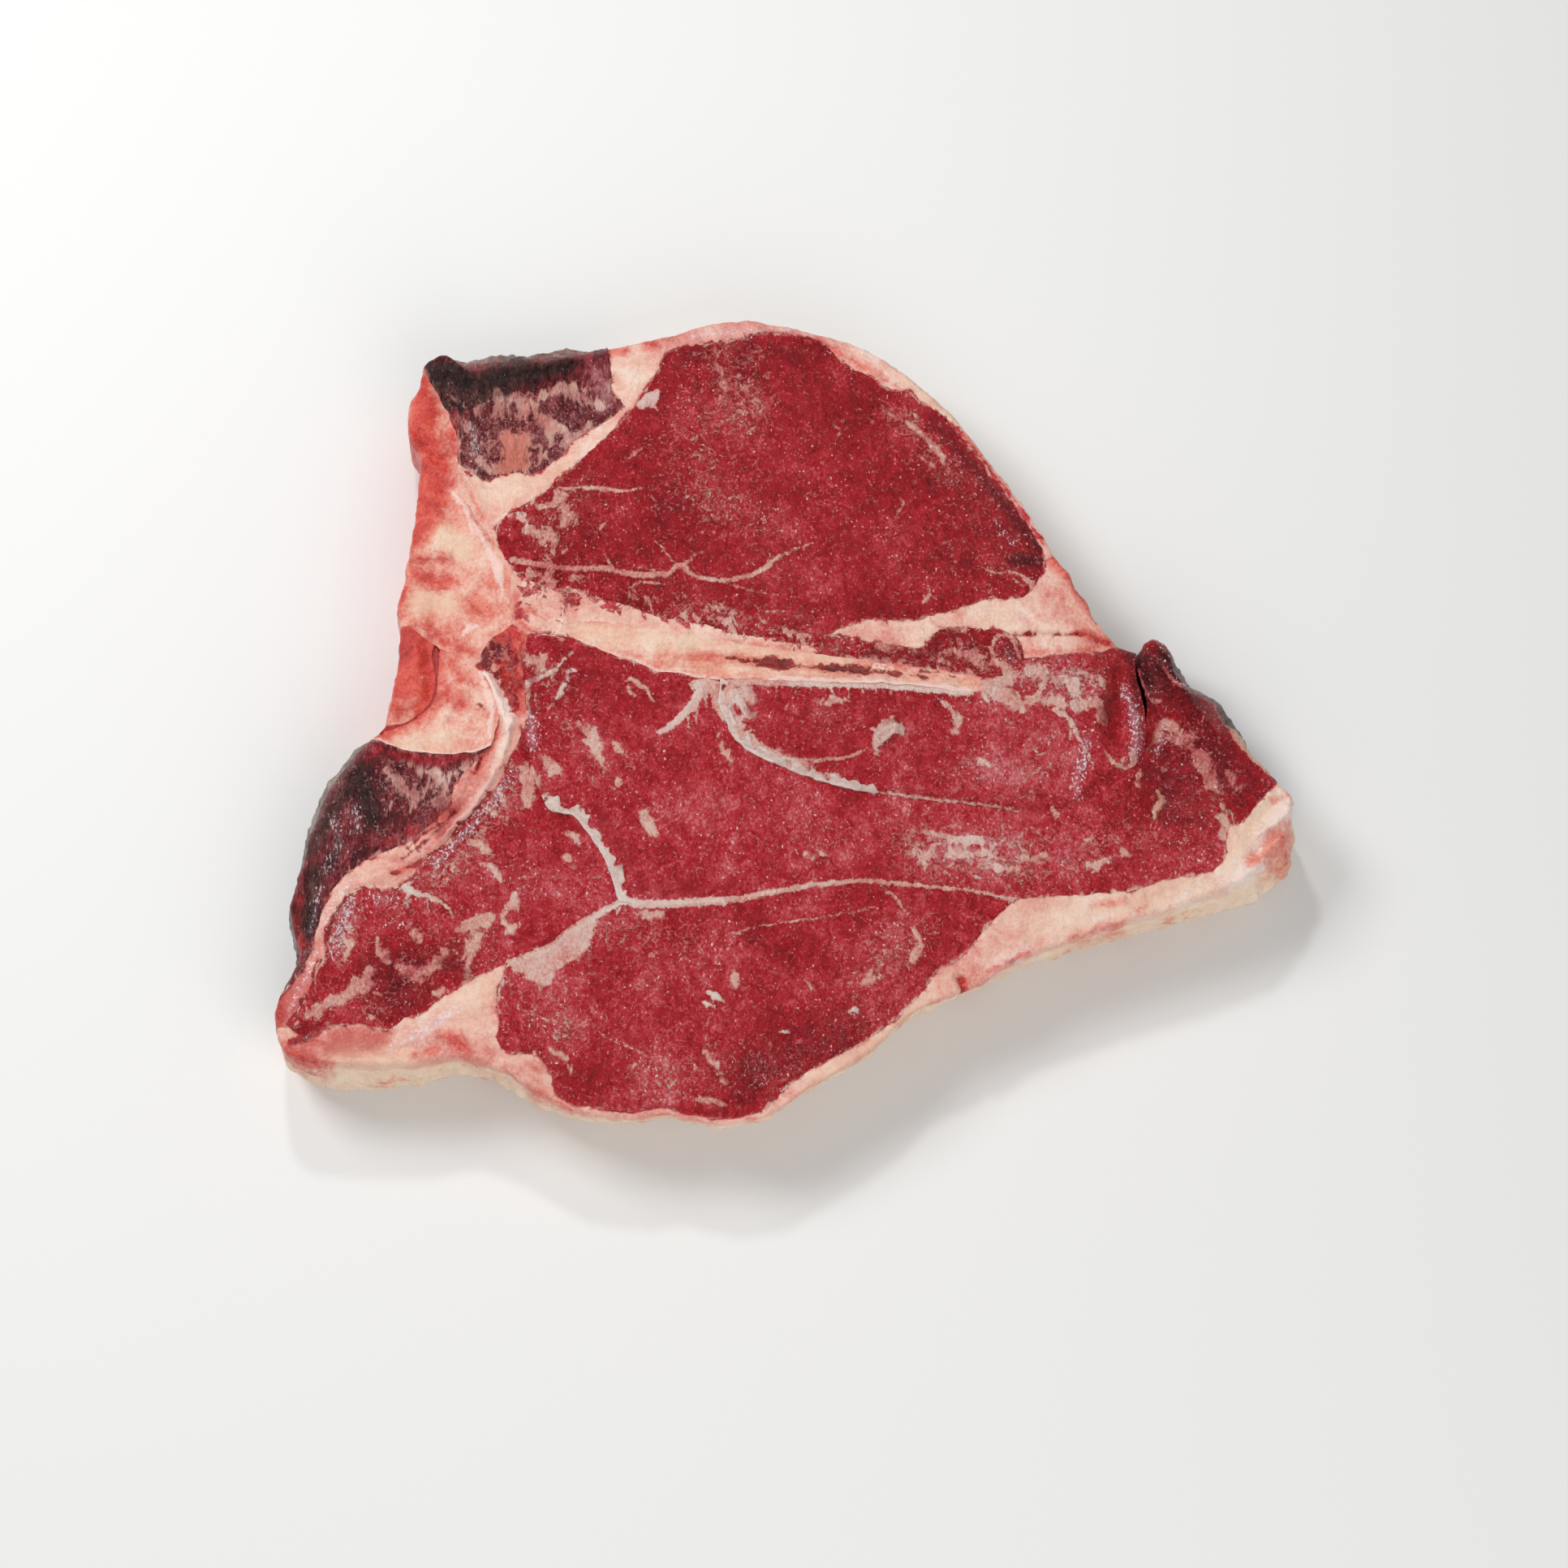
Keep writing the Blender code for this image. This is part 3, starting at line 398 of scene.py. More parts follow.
def railPair(piece, step):
    # both edges of a piece at matching stations: even between the ties, which pair places of the two
    rails = [chain(piece["upper"], piece["start"]), chain(piece["lower"], piece["start"])]
    lengths = [lengthAlong(rail) for rail in rails]
    knots = [[0.0], [0.0]]
    for tie in piece.get("ties", []):
        for k, place in enumerate(tie):
            knots[k].append(lengths[k][np.argmin(np.linalg.norm(rails[k] - place, axis=1))])
    for k in (0, 1):
        knots[k].append(lengths[k][-1])
    wanted = [[], []]
    for a, b, c, d in zip(knots[0], knots[0][1:], knots[1], knots[1][1:]):
        share = np.linspace(0, 1, max(2, math.ceil(max(b - a, d - c) / step)), endpoint=False)
        wanted[0].append(a + (b - a) * share)
        wanted[1].append(c + (d - c) * share)
    read = []
    for rail, along, spans in zip(rails, lengths, wanted):
        spans = np.append(np.concatenate(spans), along[-1])
        read.append(np.stack([np.interp(spans, along, rail[:, k]) for k in (0, 1)], axis=1))
    return read[0], read[1], np.vstack([rails[0], rails[1][::-1]])


def levelOf(piece, x, y):
    # how high a piece stands at a place: its rise, tilted about its middle
    rise, tiltX, tiltY = piece["lift"]
    return rise + (x - piece["middle"][0]) * tiltX + (y - piece["middle"][1]) * tiltY


def loftPiece(name, piece):
    # One closed skin: at each station a loop runs over the cut face from the upper edge to the lower,
    # down the wall, back under the slice and up the other wall. At both ends the loop shuts to a line.
    step = piece.get("step", slab["step"])
    railUp, railLow, outline = railPair(piece, step)
    width = np.linalg.norm(railUp - railLow, axis=1).max()
    across = max(6, math.ceil(width / step))
    under = max(4, math.ceil(width / slab["underStep"]))
    rings = piece.get("rings", slab["rings"])
    depthRow = np.linspace(0, 1, rings + 1)[1:] ** 1.3
    v = np.concatenate([np.linspace(0, 1, across), np.ones(rings), np.linspace(1, 0, under)[1:],
                        np.zeros(rings - 1)])
    depth = np.concatenate([np.zeros(across), depthRow, np.ones(under - 1), depthRow[::-1][1:]])
    x = railUp[:, None, 0] * (1 - v) + railLow[:, None, 0] * v
    y = railUp[:, None, 1] * (1 - v) + railLow[:, None, 1] * v
    depth = np.broadcast_to(depth, x.shape)

    seamAway = outlineDistance(x, y, outline)
    edgeAway = np.full(x.shape, 40.0)
    otherAway = np.full(x.shape, 40.0)               # distance to a neighbour of the other nature
    own = levelOf(piece, x, y)
    pulled, pulls = np.zeros(x.shape), np.zeros(x.shape)
    isFat = piece["slot"] == "fat"
    for seam in piece["upper"] + piece["lower"]:
        away = outlineDistance(x, y, seamLine[seam])
        others = [other for other in sharing[seam] if other is not piece]
        if seam in leans:
            edgeAway = np.minimum(edgeAway, away)
        for other in others:
            # both sides meet at the mean of their heights, or at the lower one where a torn edge stands
            neighbour = levelOf(other, x, y)
            target = np.minimum(own, neighbour) if seam in cliffs else (own + neighbour) / 2
            pull = 1 - ease(away, 0, cliffs.get(seam, slab["blend"]))
            pulled, pulls = pulled + pull * (target - own), pulls + pull
            if other["slot"] in (("lean", "crust") if isFat else ("fat", "bone")):
                otherAway = np.minimum(otherAway, away)
    level = own + pulled / np.maximum(pulls, 1)
    patch = strokeField(x, y, piece.get("patch", []))
    patch = np.minimum(12, otherAway) if isFat else np.maximum(patch, -otherAway)
    fat = strokeField(x, y, piece.get("fat", []))
    if "lean" in piece:
        hole = -strokeField(x, y, piece["lean"])
        fat, patch = np.minimum(fat, hole), np.minimum(patch, hole)
    ledge = np.zeros(x.shape)
    for path, breadth in piece.get("ledges", []):
        away = outlineDistance(x, y, pathOf(path))
        torn = breadth * (1 + 0.7 * noise(x, y, 0 * x, 5.0, 5)) + 2.4 * noise(x, y, 0 * x, 2.2, 6) - away
        fat = np.maximum(fat, torn)
        ledge = np.maximum(ledge, ease(torn, -0.3, 0.8))

    # height of the face: the slice's gentle swell, the piece's own level, its ridges and its roughness
    turnX, turnY = 2 * math.pi * x / slab["swellPitch"][0], 2 * math.pi * y / slab["swellPitch"][1]
    top = slab["thickness"] + slab["swell"] * np.sin(turnX) * np.cos(turnY) + level
    top = top + slab["nubRise"] * nubShare(x, y)
    top = top + soften(x, y, piece.get("ridges", []))
    for strength, size in slab["rough"]:
        top = top + strength * layered(x, y, 0 * x, size, 3, seed=9)
    for strength, size in piece.get("rough", []):
        top = top + strength * layered(x, y, 0 * x, size, 3, seed=4) * ease(seamAway, 0, 3)
    top = top + slab["fatRise"] * ease(fat, -0.4, 0.6) * piece.get("fatLift", 1.0)
    top = top + slab["ledgeRise"] * ledge * (1 + 1.4 * noise(x, y, 0 * x, 1.5, 8))
    radius = piece.get("round", slab["round"])
    top = top - radius * (1 - np.sqrt(1 - (1 - np.clip(edgeAway / radius, 0, 1)) ** 2))
    z = np.where(depth == 0, top, 0.0)
    onSide = (depth[0] > 0) & (depth[0] < 1)
    for rail, border in ((0, 0), (1, across - 1)):
        hang = onSide & (v == rail)
        z[:, hang] = top[:, border][:, None] * (1 - depth[:, hang])
    below = np.clip(1 - z / slab["thickness"], 0, 1)
    px, py, out = leaned(x, y, below)
    # crags of the wall: strongest at half depth, none at the face and the table
    side = np.exp(-((edgeAway / slab["cragReach"]) ** 2))
    side = side * np.sin(math.pi * np.clip(below * 1.15, 0, 1)) ** 0.6
    for strength, size, flat, octaves in piece.get("crag", slab["crag"]):
        lump = strength * layered(px, py, z * flat, size, octaves, seed=3) * side
        px, py = px + out[..., 0] * lump, py + out[..., 1] * lump
    # ragged seams: the whole plan wanders a little, so neighbours wander together
    warpX = slab["warp"] * layered(px, py, 0 * px, slab["warpSize"], 3, seed=11)
    warpY = slab["warp"] * layered(px, py, 0 * px, slab["warpSize"], 3, seed=12)
    px, py = px + warpX, py + warpY

    # marks for the material: strokes in mm, soft spots, and how far down the outer wall
    attributes = {"fat": fat, "patch": patch, "depth": depth * (edgeAway < 2.5)}
    for mark in ("membraneAndSheen", "blood", "dried", "marrow"):
        attributes[mark] = strokeField(x, y, piece.get(mark, []))
    for mark, usual in (("shade", 0), ("marble", 0), ("yellow", 0), ("torn", slab["torn"])):
        attributes[mark] = soften(x, y, piece.get(mark, [])) + piece.get(mark + "Base", usual)
    attributes["yellow"] -= ledge
    vertices = np.stack([(px - slab["centre"][0]) * mm, (py - slab["centre"][1]) * mm, z * mm], axis=-1)
    rows, columns = x.shape
    index = np.arange(rows * columns).reshape(rows, columns)
    a, b = index[:-1], index[1:]
    quads = np.stack([a, b, np.roll(b, -1, axis=1), np.roll(a, -1, axis=1)], axis=-1).reshape(-1, 4)
    return skin(name, vertices.reshape(-1, 3), quads, attributes, piece)


def skin(name, vertices, quads, attributes, piece):
    # the mesh with its marks, its collapsed ends merged, as a piece of the steak
    mesh = bpy.data.meshes.new(name)
    mesh.from_pydata(vertices, [], quads)
    for label, values in attributes.items():
        layer = mesh.attributes.new(label, "FLOAT", "POINT")
        layer.data.foreach_set("value", np.clip(values, -9, 9).reshape(-1).astype(np.float32))
    shell = bmesh.new()
    shell.from_mesh(mesh)
    bmesh.ops.remove_doubles(shell, verts=shell.verts, dist=1e-7)
    bmesh.ops.dissolve_degenerate(shell, dist=1e-7, edges=shell.edges)
    bmesh.ops.recalc_face_normals(shell, faces=shell.faces)
    shell.to_mesh(mesh)
    shell.free()
    mesh.shade_smooth()
    mesh.set_sharp_from_angle(angle=math.radians(55))
    obj = bpy.data.objects.new(name, mesh)
    bpy.context.scene.collection.objects.link(obj)
    mesh.materials.append(finishes[piece["slot"]])
    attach(obj, "root")
    if "node" in piece:
        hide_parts(piece["node"])
    print(name, len(mesh.vertices), "points,", sum(len(f.vertices) - 2 for f in mesh.polygons), "triangles")
    return obj


def linear(hexColour):
    # sRGB hex to linear light
    parts = [int(hexColour[k:k + 2], 16) / 255 for k in (1, 3, 5)]
    return (*[c / 12.92 if c <= 0.04045 else ((c + 0.055) / 1.055) ** 2.4 for c in parts], 1.0)


def node(tree, kind, inputs=(), out=0, stops=(), **settings):
    # adds a node: inputs by place or name, each a value, a hex colour or another node's output
    made = tree.nodes.new("ShaderNode" + kind)
    for key, value in settings.items():
        setattr(made, key, value)
    if stops:
        points = made.color_ramp.elements
        points.remove(points[1])
        for k, (place, colour) in enumerate(sorted(stops)):
            point = points.new(place) if k else points[0]
            point.position, point.color = place, linear(colour)
    for key, value in inputs.items() if isinstance(inputs, dict) else enumerate(inputs):
        if isinstance(value, bpy.types.NodeSocket):
            tree.links.new(value, made.inputs[key])
        else:
            made.inputs[key].default_value = linear(value) if isinstance(value, str) else value
    return made.outputs[out]


# settings that many nodes share: thresholds without a hard edge, and mixes of colours, not numbers
softly = {"interpolation_type": "SMOOTHSTEP"}
inColour = {"out": 2, "data_type": "RGBA"}


def rawMeat(name, look):
    # Colour in layers, from the bottom: flesh toned by three sizes of noise, drying, fine webs and crumbs,
    # patches and veins of fat where their mark plus a ragged fringe is above zero, membrane whose lilac is
    # partly painted sheen, painted glints, blood, and the rind at the side. Relief is the same noise, so
    # bundles stand up between the creases. In a look, cloud, bundle, grain, crumb, web, fleck and the painted
    # glints' entry are sizes in mm. A single fibre is under 0.1 mm, too fine to show, so the grain is drawn
    # coarser. Weights are those of cloud, bundle, grain and shade.
    material = bpy.data.materials.new(name)
    material.use_nodes = True
    tree = material.node_tree
    add = functools.partial(node, tree)
    marks = ("fat", "patch", "torn", "depth", "membraneAndSheen", "blood", "dried", "shade", "marble", "yellow")
    mark = {k: add("Attribute", out=2, attribute_name=k) for k in marks}
    place = add("VectorMath", [add("TexCoord", out=3), (1000, 1000, 1000)], operation="MULTIPLY")  # in mm
    cloud = add("TexNoise", {"Vector": place, "Scale": 1 / look["cloud"], "Detail": 3.0})
    fibre = add("Mapping", {"Vector": place, "Rotation": (0, 0, look["turn"]), "Scale": look["stretch"]})
    bundle = add("TexNoise", {"Vector": fibre, "Scale": 1 / look["bundle"], "Detail": 6.0,
                              "Roughness": 0.62, "Distortion": 0.6})
    grain = add("TexNoise", {"Vector": fibre, "Scale": 1 / look["grain"], "Detail": 3.0, "Roughness": 0.7})
    a, b, c, d = look["weights"]
    tone = add("Math", [mark["shade"], d, 0.5 - (a + b + c) / 2], operation="MULTIPLY_ADD")
    for layer, weight in ((grain, c), (bundle, b), (cloud, a)):
        tone = add("Math", [layer, weight, tone], operation="MULTIPLY_ADD")
    colour = add("ValToRGB", [tone], stops=look["flesh"])

    # drying: from the marked strokes, blurred over a few millimetres
    blur = add("Math", [bundle, 5.0, mark["dried"]], operation="MULTIPLY_ADD")
    dry = add("MapRange", [blur, 0.6, 5.0], **softly)
    colour = add("Mix", {0: dry, 6: colour, 7: add("ValToRGB", [tone], stops=look["driedFlesh"])}, **inColour)

    # crumbs: small pale flecks and webs, more of them where marbling is marked
    crumb = add("TexNoise", {"Vector": place, "Scale": 1 / look["crumb"], "Detail": 4.0, "Roughness": 0.6,
                             "Distortion": 1.6})
    crumb = add("Math", [mark["marble"], 0.05, crumb], operation="MULTIPLY_ADD")
    crumb = add("MapRange", [crumb, 0.58, 0.66, 0.0, look["crumbShow"]], **softly)
    web = add("TexNoise", {"Vector": place, "Scale": 1 / look["web"], "Detail": 4.0, "Distortion": 1.2})
    web = add("Math", [add("Math", [web, 0.5], operation="SUBTRACT")], operation="ABSOLUTE")
    web = add("MapRange", [web, 0.0, 0.04, 1.0, 0.0], **softly)
    where = add("Math", [mark["marble"], 0.09, cloud], operation="MULTIPLY_ADD")
    where = add("MapRange", [where, 0.45, 0.66, 0.0, look["webShow"]], **softly)
    web = add("Math", [web, where], operation="MULTIPLY")
    crumb = add("Math", [web, crumb], operation="MAXIMUM")
    colour = add("Mix", {0: crumb, 6: colour, 7: look["thread"]}, **inColour)

    # painted glints: tiny near-white specks painted into the colour as wet highlights, crowded where membrane
    # or marbling is marked
    paintedGlint = add("TexNoise", {"Vector": fibre, "Scale": 1 / look["paintedGlint"], "Detail": 2.0, "Distortion": 0.4})
    sheen = add("MapRange", [mark["membraneAndSheen"], -1.5, 2.5, 0.0, 0.15], **softly)
    sheen = add("Math", [cloud, 0.14, sheen], operation="MULTIPLY_ADD")
    sheen = add("Math", [mark["marble"], 0.012, sheen], operation="MULTIPLY_ADD")
    paintedGlint = add("Math", [sheen, paintedGlint], operation="ADD")
    paintedGlint = add("MapRange", [paintedGlint, 0.756, 0.8, 0.0, look["paintedGlintShow"]], **softly)

    # fat: veins with a fine fringe, patches with a coarse one, and flecks strewn where marbling is marked
    fine = add("TexNoise", {"Vector": place, "Scale": 1 / 1.3, "Detail": 5.0, "Roughness": 0.7})
    vein = add("Math", [fine, 2.8, add("Math", [mark["fat"], 1.4], operation="SUBTRACT")],
               operation="MULTIPLY_ADD")
    vein = add("MapRange", [vein, -0.12, 0.35], **softly)
    coarse = add("TexNoise", {"Vector": fibre, "Scale": 1 / 4.6, "Detail": 6.0, "Roughness": 0.66,
                              "Distortion": 0.8})
    ragged = add("Math", [coarse, 13.0, -6.5], operation="MULTIPLY_ADD")
    patch = add("Math", [ragged, mark["torn"], mark["patch"]], operation="MULTIPLY_ADD")
    patch = add("MapRange", [patch, *look["fade"], 0.0, look["opaque"]], **softly)
    fleck = add("TexNoise", {"Vector": place, "Scale": 1 / look["fleck"], "Detail": 8.0, "Roughness": 0.72,
                             "Distortion": 1.2})
    fleck = add("Math", [mark["marble"], 0.07, fleck], operation="MULTIPLY_ADD")
    fleck = add("MapRange", [fleck, look["flecks"], look["flecks"] + 0.06, 0.0, look["fleckShow"]], **softly)
    fat = add("Math", [vein, patch], operation="MAXIMUM")
    if look["fleckIsFlesh"]:
        fleck = add("Math", [1.0, fleck], operation="SUBTRACT")
        fat = add("Math", [fat, fleck], operation="MINIMUM")
    else:
        fat = add("Math", [fat, fleck], operation="MAXIMUM")
    fat = add("Math", [fat, add("MapRange", [dry, 0.3, 1.0, 1.0, 0.3])], operation="MULTIPLY")
    fatTone = add("Math", [mark["shade"], look["fatShade"], -0.325 - look["fatGrain"] / 2],
                  operation="MULTIPLY_ADD")
    for layer, weight in ((grain, look["fatGrain"]), (coarse, 0.75), (cloud, 0.9)):
        fatTone = add("Math", [layer, weight, fatTone], operation="MULTIPLY_ADD")
    wax = add("ValToRGB", [fatTone], stops=look["wax"])
    yellow = add("MapRange", [mark["yellow"], 0.0, 1.0, 0.0, 0.8])
    wax = add("Mix", {0: yellow, 6: wax, 7: look["yellow"]}, **inColour)
    white = add("MapRange", [mark["yellow"], 0.0, -1.0, 0.0, 0.85])
    wax = add("Mix", {0: white, 6: wax, 7: "#fbe9df"}, **inColour)
    colour = add("Mix", {0: fat, 6: colour, 7: wax}, **inColour)

    # membrane: pale lilac threads over the marked strokes, partly the tissue's own tint and partly a painted
    # sheen, then the painted glints on top
    thread = add("TexNoise", {"Vector": place, "Scale": 1 / 1.2, "Detail": 5.0, "Roughness": 0.72,
                              "Distortion": 2.0})
    thread = add("Math", [thread, 12.0, -7.0], operation="MULTIPLY_ADD")
    thread = add("Math", [mark["membraneAndSheen"], thread], operation="ADD")
    membraneAndSheen = add("MapRange", [thread, -0.3, 2.2, 0.0, 0.5], **softly)
    colour = add("Mix", {0: membraneAndSheen, 6: colour, 7: look["membraneSheen"]}, **inColour)
    colour = add("Mix", {0: paintedGlint, 6: colour, 7: "#f6e3e6"}, **inColour)

    # the rind at the side
    rindTone = add("Math", [cloud, 0.8, add("Math", [bundle, 0.9, -0.35], operation="MULTIPLY_ADD")],
                   operation="MULTIPLY_ADD")
    rind = add("ValToRGB", [rindTone], stops=look["rind"])
    low = add("MapRange", [mark["depth"], 0.03, 0.09], **softly)
    colour = add("Mix", {0: low, 6: colour, 7: rind}, **inColour)

    # blood: soaked in along the marked strokes, and run raggedly down the side
    soak = add("Math", [ragged, 0.8, mark["blood"]], operation="MULTIPLY_ADD")
    run = add("Math", [coarse, 1.6, add("Math", [mark["depth"], 0.8], operation="SUBTRACT")],
              operation="MULTIPLY_ADD")
    run = add("MapRange", [run, 0.1, 0.5, 0.85, 0.08])
    soak = add("MapRange", [soak, -1.4, 1.8], **softly)
    soak = add("Math", [soak, run], operation="MULTIPLY")
    colour = add("Mix", {0: soak, 6: colour, 7: add("ValToRGB", [tone], stops=look["blood"])}, **inColour)

    # relief of a fraction of a millimetre, and a wet gloss that is tightest over membrane
    height = add("Math", [grain, look["relief"][1], add("Math", [fat, 0.2], operation="MULTIPLY")],
                 operation="MULTIPLY_ADD")
    height = add("Math", [bundle, look["relief"][0], height], operation="MULTIPLY_ADD")
    relief = add("Bump", {"Height": height, "Strength": 1.0, "Distance": 0.001})
    gloss = add("MapRange", [coarse, 0.35, 0.65, look["gloss"][0], look["gloss"][1]])
    wet = add("Math", [membraneAndSheen, 0.15], operation="MULTIPLY")
    gloss = add("Math", [gloss, wet], operation="SUBTRACT")
    shader = tree.nodes["Principled BSDF"]
    tree.links.new(colour, shader.inputs["Base Color"])
    tree.links.new(gloss, shader.inputs["Roughness"])
    tree.links.new(relief, shader.inputs["Normal"])
    shader.inputs["IOR"].default_value = 1.42
    shader.inputs["Subsurface Weight"].default_value = look["soft"]
    shader.inputs["Subsurface Radius"].default_value = (1.0, 0.3, 0.2)
    shader.inputs["Subsurface Scale"].default_value = 0.001
    return material


fleshTones = [(0.05, "#42000a"), (0.24, "#7c0410"), (0.4, "#9c0c19"), (0.52, "#b01320"), (0.63, "#c32633"),
              (0.76, "#d54d57"), (0.92, "#ea9194")]
waxTones = [(0.12, "#cc5f56"), (0.3, "#de8d80"), (0.46, "#e9ae9d"), (0.64, "#f0c8b6"), (0.85, "#f8e2d8")]
driedTones = [(0.2, "#2c0205"), (0.5, "#640a10"), (0.9, "#923033")]
shredTones = [(0.12, "#bc4850"), (0.3, "#d87672"), (0.46, "#e8a195"), (0.62, "#f2bdae"), (0.85, "#fae0d5")]


def rawBeef():
    # raw beef sawn across the grain: crimson, mottled by bundles of fibre, marbled, wet enough to glint, with
    # painted glints besides
    return rawMeat("rawBeef", {
        "cloud": 17.0, "bundle": 3.4, "grain": 0.8, "weights": (0.5, 0.85, 0.85, 0.22), "fatGrain": 1.1,
        "turn": 0.35, "stretch": (1.15, 0.85, 1.0),
        "flesh": fleshTones, "driedFlesh": driedTones,
        "crumb": 1.7, "crumbShow": 0.62, "web": 2.8, "webShow": 0.25, "paintedGlint": 0.8, "paintedGlintShow": 1.0,
        "thread": "#e08a88", "fleck": 2.8, "flecks": 0.6, "fleckShow": 0.7, "fleckIsFlesh": False,
        "wax": shredTones, "fade": (-0.45, 0.6), "opaque": 0.88, "fatShade": 0.2, "yellow": "#e3bd97",
        "membraneSheen": "#d2a9b6",
        "blood": [(0.2, "#5e060c"), (0.5, "#9c0c16"), (0.9, "#d8404a")],
        "rind": [(0.25, "#35100f"), (0.5, "#6b3a35"), (0.9, "#a9867c")],
        "relief": (1.5, 1.2), "gloss": (0.1, 0.24), "soft": 0.06,
    })


def beefFat():
    # raw fat: waxy, cream to pink, with shreds of lean in it and blood soaked in at the edges
    return rawMeat("beefFat", {
        "cloud": 11.0, "bundle": 4.0, "grain": 0.9, "weights": (0.5, 1.1, 0.9, 0.22), "fatGrain": 0.5,
        "turn": 0.0, "stretch": (1.0, 1.0, 1.0),
        "flesh": fleshTones, "driedFlesh": driedTones,
        "crumb": 1.5, "crumbShow": 0.5, "web": 2.8, "webShow": 0.2, "paintedGlint": 0.8, "paintedGlintShow": 0.6,
        "thread": "#dd9f98", "fleck": 3.2, "flecks": 0.66, "fleckShow": 1.0, "fleckIsFlesh": True,
        "wax": waxTones, "fade": (-0.35, 0.6), "opaque": 0.96, "fatShade": 0.3, "yellow": "#edcdb0",
        "membraneSheen": "#dccad4",
        "blood": [(0.2, "#a80c0e"), (0.42, "#d0322a"), (0.62, "#e2604c"), (0.9, "#f09880")],
        "rind": [(0.12, "#dc6c58"), (0.3, "#ecaa92"), (0.42, "#f4d2b6"), (0.65, "#f6dec6"), (0.9, "#f9e8d8")],
        "relief": (0.9, 0.3), "gloss": (0.2, 0.4), "soft": 0.15,
    })


def driedBeef():
    # the outside of the meat, dried in the air: brown-black, patched with pale fat, its side wrinkled grey
    return rawMeat("driedBeef", {
        "cloud": 8.0, "bundle": 2.8, "grain": 0.8, "weights": (0.5, 1.2, 0.9, 0.3), "fatGrain": 0.8,
        "turn": 0.0, "stretch": (1.5, 0.55, 1.0),
        "flesh": [(0.1, "#1c0205"), (0.33, "#48060e"), (0.5, "#6a0e17"), (0.68, "#8e2e36"),
                  (0.95, "#c07c80")],
        "driedFlesh": [(0.1, "#1e0d0a"), (0.45, "#3a1d19"), (0.95, "#7c4843")],
        "crumb": 1.7, "crumbShow": 0.6, "web": 2.4, "webShow": 0.4, "paintedGlint": 0.8, "paintedGlintShow": 0.6,
        "thread": "#c08a88", "fleck": 3.6, "flecks": 0.585, "fleckShow": 0.9, "fleckIsFlesh": False,
        "wax": [(0.2, "#8f4348"), (0.4, "#b9706c"), (0.56, "#d0968b"), (0.85, "#e6c0b2")],
        "fade": (-0.5, 0.9), "opaque": 0.96, "fatShade": 0.2, "yellow": "#df7f6a", "membraneSheen": "#927880",
        "blood": [(0.2, "#5e060c"), (0.5, "#a80d16"), (0.9, "#d8404a")],
        "rind": [(0.2, "#382c28"), (0.38, "#63564c"), (0.55, "#8c7e72"), (0.9, "#c2b5a8")],
        "relief": (1.6, 0.6), "gloss": (0.14, 0.34), "soft": 0.03,
    })


